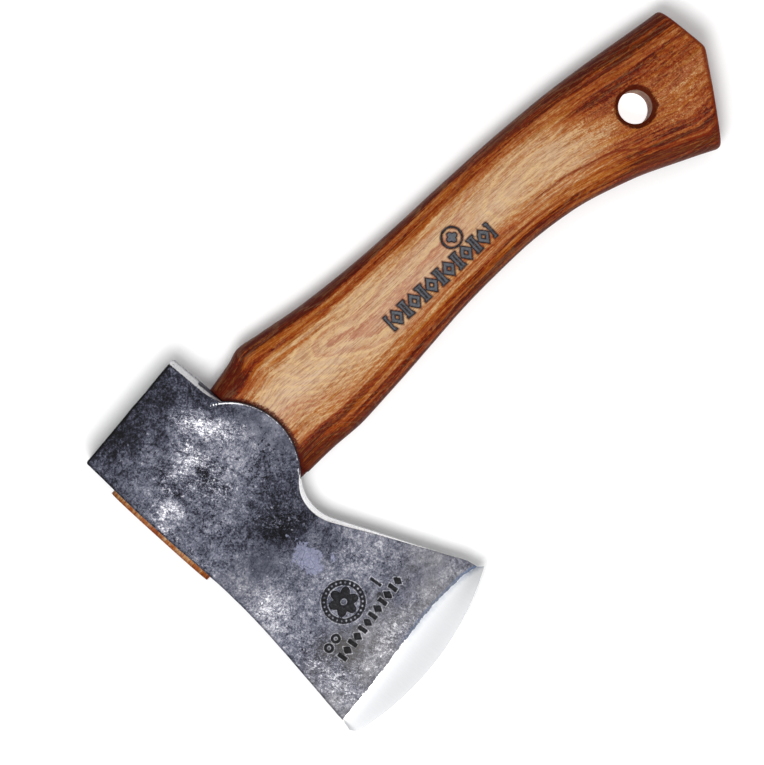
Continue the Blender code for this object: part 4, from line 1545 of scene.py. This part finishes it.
    def cutters(self) -> list[bpy.types.Object]:
        """The shapes of the two wedges' slots, the kerf, the lanyard hole and the room under both ears."""
        head, over = self.head, self.slot_over
        wedges = (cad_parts["wooden_wedge"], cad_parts["steel_wedge"])
        slots = [wedge_slot(node, self.fit_gap, over) for node in wedges]
        top, half = head.eye_top - self.tongue_proud, self.kerf_width / 2
        low, high = (top - over, -0.04, self.mid - half), (top + self.kerf_depth, 0.04, self.mid + half)
        saw = block("saw", low, high)
        lip, spare = self.end_thickness / 2, 0.006
        mouth, throat = self.hole_radius + self.hole_chamfer, lip - self.hole_chamfer - 0.0002
        profile = [(mouth + spare, lip + spare), (mouth, lip), (mouth - 0.0008, lip - 0.0011)]
        profile += [(self.hole_radius, throat), (self.hole_radius, throat - 0.0010)]
        profile += [(r, -z) for r, z in reversed(profile)]
        drill = turned("drill", np.array(profile), Vector((self.hole_x, self.hole_y, self.mid)), 96)
        near, far = head.eye_width / 2 - self.fit_gap, self.end_thickness
        wide = head.ear_radius + self.fit_gap
        ears = []
        for name, sign in (("upper_ear", 1), ("lower_ear", -1)):
            profile = np.array([(wide, far * sign), (wide, near * sign)])[::sign]
            ears.append(turned(name, profile, Vector((*head.ear, self.mid)), 240))
        return [*slots, saw, drill, *ears]

    def build(self) -> bpy.types.Object:
        """Makes the handle's mesh, cuts its kerf, slots and hole, works its surface and dresses it."""
        head = self.head
        top = head.eye_top - self.tongue_proud
        edge = 0.0005
        quarter = np.linspace(0, math.pi / 2, 4)
        straight = np.linspace(top + 0.0012, head.poll_underside - 0.0002, self.tongue_rows)
        x = np.concatenate([top + edge * (1 - np.sin(quarter)), straight])
        inset = np.concatenate([edge * (1 - np.cos(quarter[::-1])), np.zeros(self.tongue_rows)])
        tongue = self.tongue(x, inset)
        full = np.concatenate(
            [
                np.linspace(head.poll_underside + 0.0001 - self.start, 0.0445, self.neck_rows),
                np.linspace(0.0449, 0.0935, self.border_rows),
                np.linspace(0.0942, 0.9885 * self.grip_length, self.end_rows),
            ]
        )
        full /= self.grip_length
        grip = self.grip(full, 0 * full)
        bend = np.linspace(0, math.pi / 2, 7)
        round_share = self.end_round * (1 - np.sin(bend)) / self.grip_length
        end = self.grip(1 - round_share, self.end_round * (1 - np.cos(bend)))
        rings = np.concatenate([tongue, grip, end])
        handle = closed_skin("oiled_handle", rings, (14, 30))
        carve(handle, self.cutters())
        round_off(handle)
        self.work(handle)
        handle.data.materials.clear()
        handle.data.materials.append(self.finish.make())
        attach(handle, BODY)
        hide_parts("handle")
        return handle

    def across(self, p: Array) -> Array:
        """Where each point lies between the outlines: (2y - back - front) / (back - front)."""
        share = (p[:, 0] - self.start) / self.grip_length
        back, front = self.back(share), self.front(share)
        return (2 * p[:, 1] - back - front) / (back - front)

    def grain(self, p: Array) -> Array:
        """Places along, across and up the handle, across being stretched to follow both outlines."""
        return np.stack([p[:, 0], self.across(p) * self.grain_width, p[:, 2]], axis=-1)

    def dark_line(self, p: Array) -> Array:
        """How strongly each point is stained by the dark streak inside the front outline near the end,
        falling off as exp(-(d / width)^2) with its distance across the streak."""
        x, y = p[:, 0] / MM, p[:, 1] / MM
        run = fair_line([(100, -21.5), (120, -21.8), (138, -23.6), (161, -31), (176, -45), (191, -54)])
        wander = cloud(p * [1, 0, 0], 0.012, 71, 2) * 0.5
        width = 0.55 + 0.5 * ease(x, 150, 185)
        here = ease(x, 118, 142) * (1 - ease(x, 184, 200))
        return np.exp(-(((y - run(x) - wander) / width) ** 2)) * here

    def end_distance(self, p: Array) -> Array:
        """How far each point lies in front of the two runs of the end face, in the plan."""
        corners = self.grip(np.ones(1), np.zeros(1))[0]
        along, _ = self.oval()
        back = corners[np.argmax(along)][:2]
        front = corners[np.argmin(along)][:2]
        middle = corners[np.argmin(np.abs(along - self.end_corner))][:2]
        found = []
        for a, b in ((back, middle), (middle, front)):
            run = (b - a) / np.linalg.norm(b - a)
            found.append((p[:, :2] - a) @ np.array([run[1], -run[0]]))
        return np.minimum(*found)

    def work(self, handle: bpy.types.Object) -> None:
        """Gives the wood its hand-shaped unevenness and burnt marks, and stores what the wood reads."""
        p, n = places(handle), normals(handle)
        x, _, z = p.T
        outer = x > self.start + 0.0005
        uneven = cloud(p * [0.5, 1, 1], 0.012, 51, 2) * 0.00010 * outer
        outside = self.border.outside(p)
        upper = (n[:, 2] > 0.4) & (z > self.mid)
        sunk = (1 - ease(outside, -0.00018, 0.00010)) * upper
        press(handle, uneven - sunk * self.border.depth)
        mark(handle, "brand", np.where(upper, outside, 0.01))
        dusk = 0.54 * ease(x, 0.146, 0.176)
        mark(handle, "dusk", dusk * (1 - np.minimum(np.abs(self.across(p)), 1)))
        mark(handle, "ring", GrowthRings(self).field(p))
        mark_places(handle, "grain", self.grain(p))
        mark(handle, "line", self.dark_line(p))
        wall = np.hypot(x - self.hole_x, p[:, 1] - self.hole_y) < self.hole_radius + 0.0001
        wall &= np.abs(z - self.mid) < self.end_thickness / 2 - 0.0024
        # side: the wood's redder sides, partly painted shade of the rounded sides
        mark(handle, "side", np.where(wall, 0.1, self.redness_and_side_shade(p)))
        # scorch: scorched rings round the hole, partly painted shade on one side, and painted shade beside
        # the ears and by the head
        mark(handle, "scorch_and_shade", np.where(wall, 0, self.scorch_and_shade(p)))
        brink = self.end_distance(p)
        facing = ease(np.where(x > 0, n[:, 0] * 0.9 - n[:, 1] * 0.4, -n[:, 0]), 0.75, 0.9)
        cut = facing * ((x < 0) | (brink < 0.0012))
        mark(handle, "cut", cut * 0.9)
        # painted shade along the rim of the end face, where it rounds over
        mark(handle, "end_shade", (1 - ease(brink, 0.0004, 0.0022)) * 0.9 * outer * (1 - cut))

    def redness_and_side_shade(self, p: Array) -> Array:
        """How dark and red the wood is at each point, from 0 in the middle to 1 at the outlines, partly
        painted shade.
        """
        x, y, _ = p.T
        share = (x - self.start) / self.grip_length
        # the redder sides are partly painted shade where they turn away from the light; the bands beside the
        # ears and along the back by the head are painted shade
        side = np.abs(self.across(p)) + 0.10 * (1 - ease(x, 0.022, 0.032))
        side += 0.10 * ease(y - self.back(share), -0.009, -0.001) * (1 - ease(x, 0.07, 0.11))
        side += added(self.neck_painted_shade, p)
        side = np.where(x < -0.015, 0.50 + 0.2 * cloud(p, 0.006, 73, 2), side)
        # painted shade: the outermost rim darker still
        return side + 0.20 * ease(side, 0.80, 1.0) + added(self.grip_shades, p) + 0.07 * ease(x, 0.155, 0.175)

    def scorch_and_shade(self, p: Array) -> Array:
        """How dark each point is: scorched round the lanyard hole's mouths, with painted shade in the shadow
        of the ears.
        """
        x, y, z = p.T
        ring = np.hypot(x - self.hole_x, y - self.hole_y)
        # the ring reaches further on one side: partly painted shade of the chamfer's shaded side
        toward = np.cos(np.arctan2(y - self.hole_y, x - self.hole_x) - self.scorch_and_shade_turn)
        reach = self.hole_radius + self.hole_chamfer * (0.84 + 0.16 * toward)
        reach += cloud(p, 0.0016, 75, 2) * 0.00035
        height, lip = np.abs(z - self.mid), self.end_thickness / 2
        burnt = 1 - ease(ring, reach - 0.0003, reach + 0.0006)
        burnt *= ease(height, lip - 0.0030, lip - 0.0018)
        ear = np.hypot(x - self.head.ear[0], y - self.head.ear[1]) - self.head.ear_radius
        shade = (1 - ease(ear, 0.0004, 0.0016)) * (x > 0)
        # painted shade in the corner where the wood meets the head
        corner = (1 - ease(x, 0.0200, 0.0225)) * (x > 0.016)
        return np.maximum(burnt, np.maximum(shade, corner) * 0.8)


@dataclass(frozen=True)
class GrowthRings:
    """Growth rings: shells round the tree's heart line, which runs deep under the handle's upper face.

    The heart line's y and its depth are (x, value) pairs in millimetres.
    """

    handle: Handle
    spacing: float = 0.00105
    heart_y: tuple[tuple[float, float], ...] = (
        (-30, 10), (31.5, 6.8), (46.5, 0.5), (57, -3.3), (73, -9.7), (100, -12),
        (127, -14), (141, -16.2), (152, -17.7), (175, -25), (200, -34), (212, -38),
    )
    heart_depth: tuple[tuple[float, float], ...] = (
        (-30, 24), (31.5, 20), (46.5, 17.9), (57, 16), (73, 15.2), (100, 15), (115, 14.6),
        (127, 13), (141, 11.8), (152, 12.2), (170, 11.9), (200, 11.5), (215, 11),
    )

    def field(self, p: Array) -> Array:
        """How many rings out from the heart line each point lies: its distance over the spacing, plus
        two slow waves of noise."""
        x, y, z = p.T
        heart_y, depth = fair_line(self.heart_y)(x / MM) * MM, fair_line(self.heart_depth)(x / MM) * MM
        share = (x - self.handle.start) / self.handle.grip_length
        face = self.handle.mid + self.handle.thickness(share) / 2
        away = np.hypot(y - heart_y, z - face + depth)
        away += cloud(p, (0.030, 0.010, 0.010), 61, 2) * 0.0007
        away += cloud(p, (0.012, 0.005, 0.005), 63, 2) * 0.00015
        return away / self.spacing


# --- the wedges ------------------------------------------------------------------------------------------


@dataclass(frozen=True)
class Wedges:
    """The wooden wedge along the eye and the steel wedge across it, as packed."""

    wood: WedgeWood = WedgeWood()
    steel: CutSteel = CutSteel()

    def build(self) -> list[bpy.types.Object]:
        """Dresses the two packed wedges."""
        pieces = [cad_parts["wooden_wedge"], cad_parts["steel_wedge"]]
        for piece, finish in zip(pieces, (self.wood, self.steel)):
            piece.data.materials.clear()
            piece.data.materials.append(finish.make())
        return pieces


# --- the studio ------------------------------------------------------------------------------------------


@dataclass(frozen=True)
class Studio:
    """A pale floor under soft light. The camera stands at over and looks at aim, both in the plan."""

    aim: tuple[float, float] = (0.0579, -0.0232)
    over: tuple[float, float] = (0.0579, 0.0100)
    height: float = 1.30
    view_width: float = 0.2502
    roll: float = math.radians(50)
    sensor: float = 36.0
    sky: float = 0.38
    box_height: float = 2.0
    box_size: float = 2.4
    box_power: float = 17.0
    key_lean: float = math.radians(15)
    key_turn: float = math.radians(202)
    key_distance: float = 1.2
    key_size: float = 0.34
    key_power: float = 10.0
    window: tuple[float, float] = (0.1793, -0.0285)
    window_radius: float = 0.0090
    window_light: float = 0.85
    floor_reach: float = 3.0
    floor_drop: float = 0.0002

    def build(self) -> None:
        """Makes the floor, the lights and the camera."""
        self.floor()
        self.lights()
        self.camera()
        scene = bpy.context.scene
        scene.view_settings.view_transform = "Standard"
        scene.view_settings.look = "None"

    def floor(self) -> None:
        """A wide pale sheet just under the hatchet, glowing in a disc below the lanyard hole as painted
        light.
        """
        s = Sheet("floor")
        grain = s.noise(s.place((1, 1, 1)), 0.02, 2)
        pale = s.ramp(grain, [(0.3, srgb(243, 243, 243)), (0.7, srgb(245, 245, 245))])
        # painted light: the floor glows in a disc under the lanyard hole, so that the hole shows white
        here = s.add("TexCoord").outputs["Object"]
        away = s.add("VectorMath", {0: here, 1: (*self.window, 0)}, operation="DISTANCE").outputs["Value"]
        glow = s.between(away, self.window_radius * 0.8, self.window_radius, 1.0, 0.0)
        glow = s.times(glow, self.window_light)
        s.finish(Base_Color=pale, Roughness=0.9, Emission_Color=(1, 1, 1, 1), Emission_Strength=glow)
        r, z = self.floor_reach, CAD_BOX[0][2] - self.floor_drop
        mesh = bpy.data.meshes.new("floor")
        mesh.from_pydata([(-r, -r, z), (r, -r, z), (r, r, z), (-r, r, z)], [], [(0, 1, 2, 3)])
        mesh.materials.append(s.material)
        show("floor", mesh)

    def lights(self) -> None:
        """A white sky, and a soft key light from the bottom of the view."""
        world = bpy.data.worlds.new("sky")
        world.use_nodes = True
        background = world.node_tree.nodes["Background"]
        background.inputs["Color"].default_value = (1, 1, 1, 1)
        background.inputs["Strength"].default_value = self.sky
        bpy.context.scene.world = world
        target = Vector((*self.aim, 0))
        self.area("softbox", target + Vector((0, 0, self.box_height)), target, self.box_size, self.box_power)
        flat, turn = math.sin(self.key_lean), self.key_turn
        lean = Vector((flat * math.cos(turn), flat * math.sin(turn), math.cos(self.key_lean)))
        self.area("key", target + lean * self.key_distance, target, self.key_size, self.key_power)

    def area(self, name: str, place: Vector, target: Vector, size: float, power: float) -> None:
        """A square soft light at a place, facing the target."""
        light = bpy.data.lights.new(name, "AREA")
        light.size, light.energy = size, power
        lamp = bpy.data.objects.new(name, light)
        lamp.location = place
        lamp.rotation_euler = (target - place).to_track_quat("-Z", "Y").to_euler()
        bpy.context.scene.collection.objects.link(lamp)

    def camera(self) -> None:
        """The camera, almost straight above, rolled so that the handle rises to the upper right."""
        lens = bpy.data.cameras.new("camera")
        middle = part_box("axe_head")[1].z / 2
        place, target = Vector((*self.over, self.height)), Vector((*self.aim, middle))
        lens.sensor_width = self.sensor
        lens.lens = self.sensor * (target - place).length / self.view_width
        eye = bpy.data.objects.new("camera", lens)
        forward = (target - place).normalized()
        up = Vector((math.sin(self.roll), math.cos(self.roll), 0))
        right = forward.cross(up).normalized()
        turn = Matrix((right, right.cross(forward), -forward)).transposed()
        eye.matrix_world = Matrix.Translation(place) @ turn.to_4x4()
        bpy.context.scene.collection.objects.link(eye)
        bpy.context.scene.camera = eye


def main() -> None:
    """Builds the hatchet and its studio."""
    logging.basicConfig(level=logging.INFO, format="%(name)s: %(message)s")
    head = ForgedHead()
    pieces = [head.build(), Handle(head).build(), *Wedges().build()]
    for piece in pieces:
        LOG.info("%s: %d vertices", piece.name, len(piece.data.vertices))
    Studio().build()


if __name__ == "__main__":
    main()
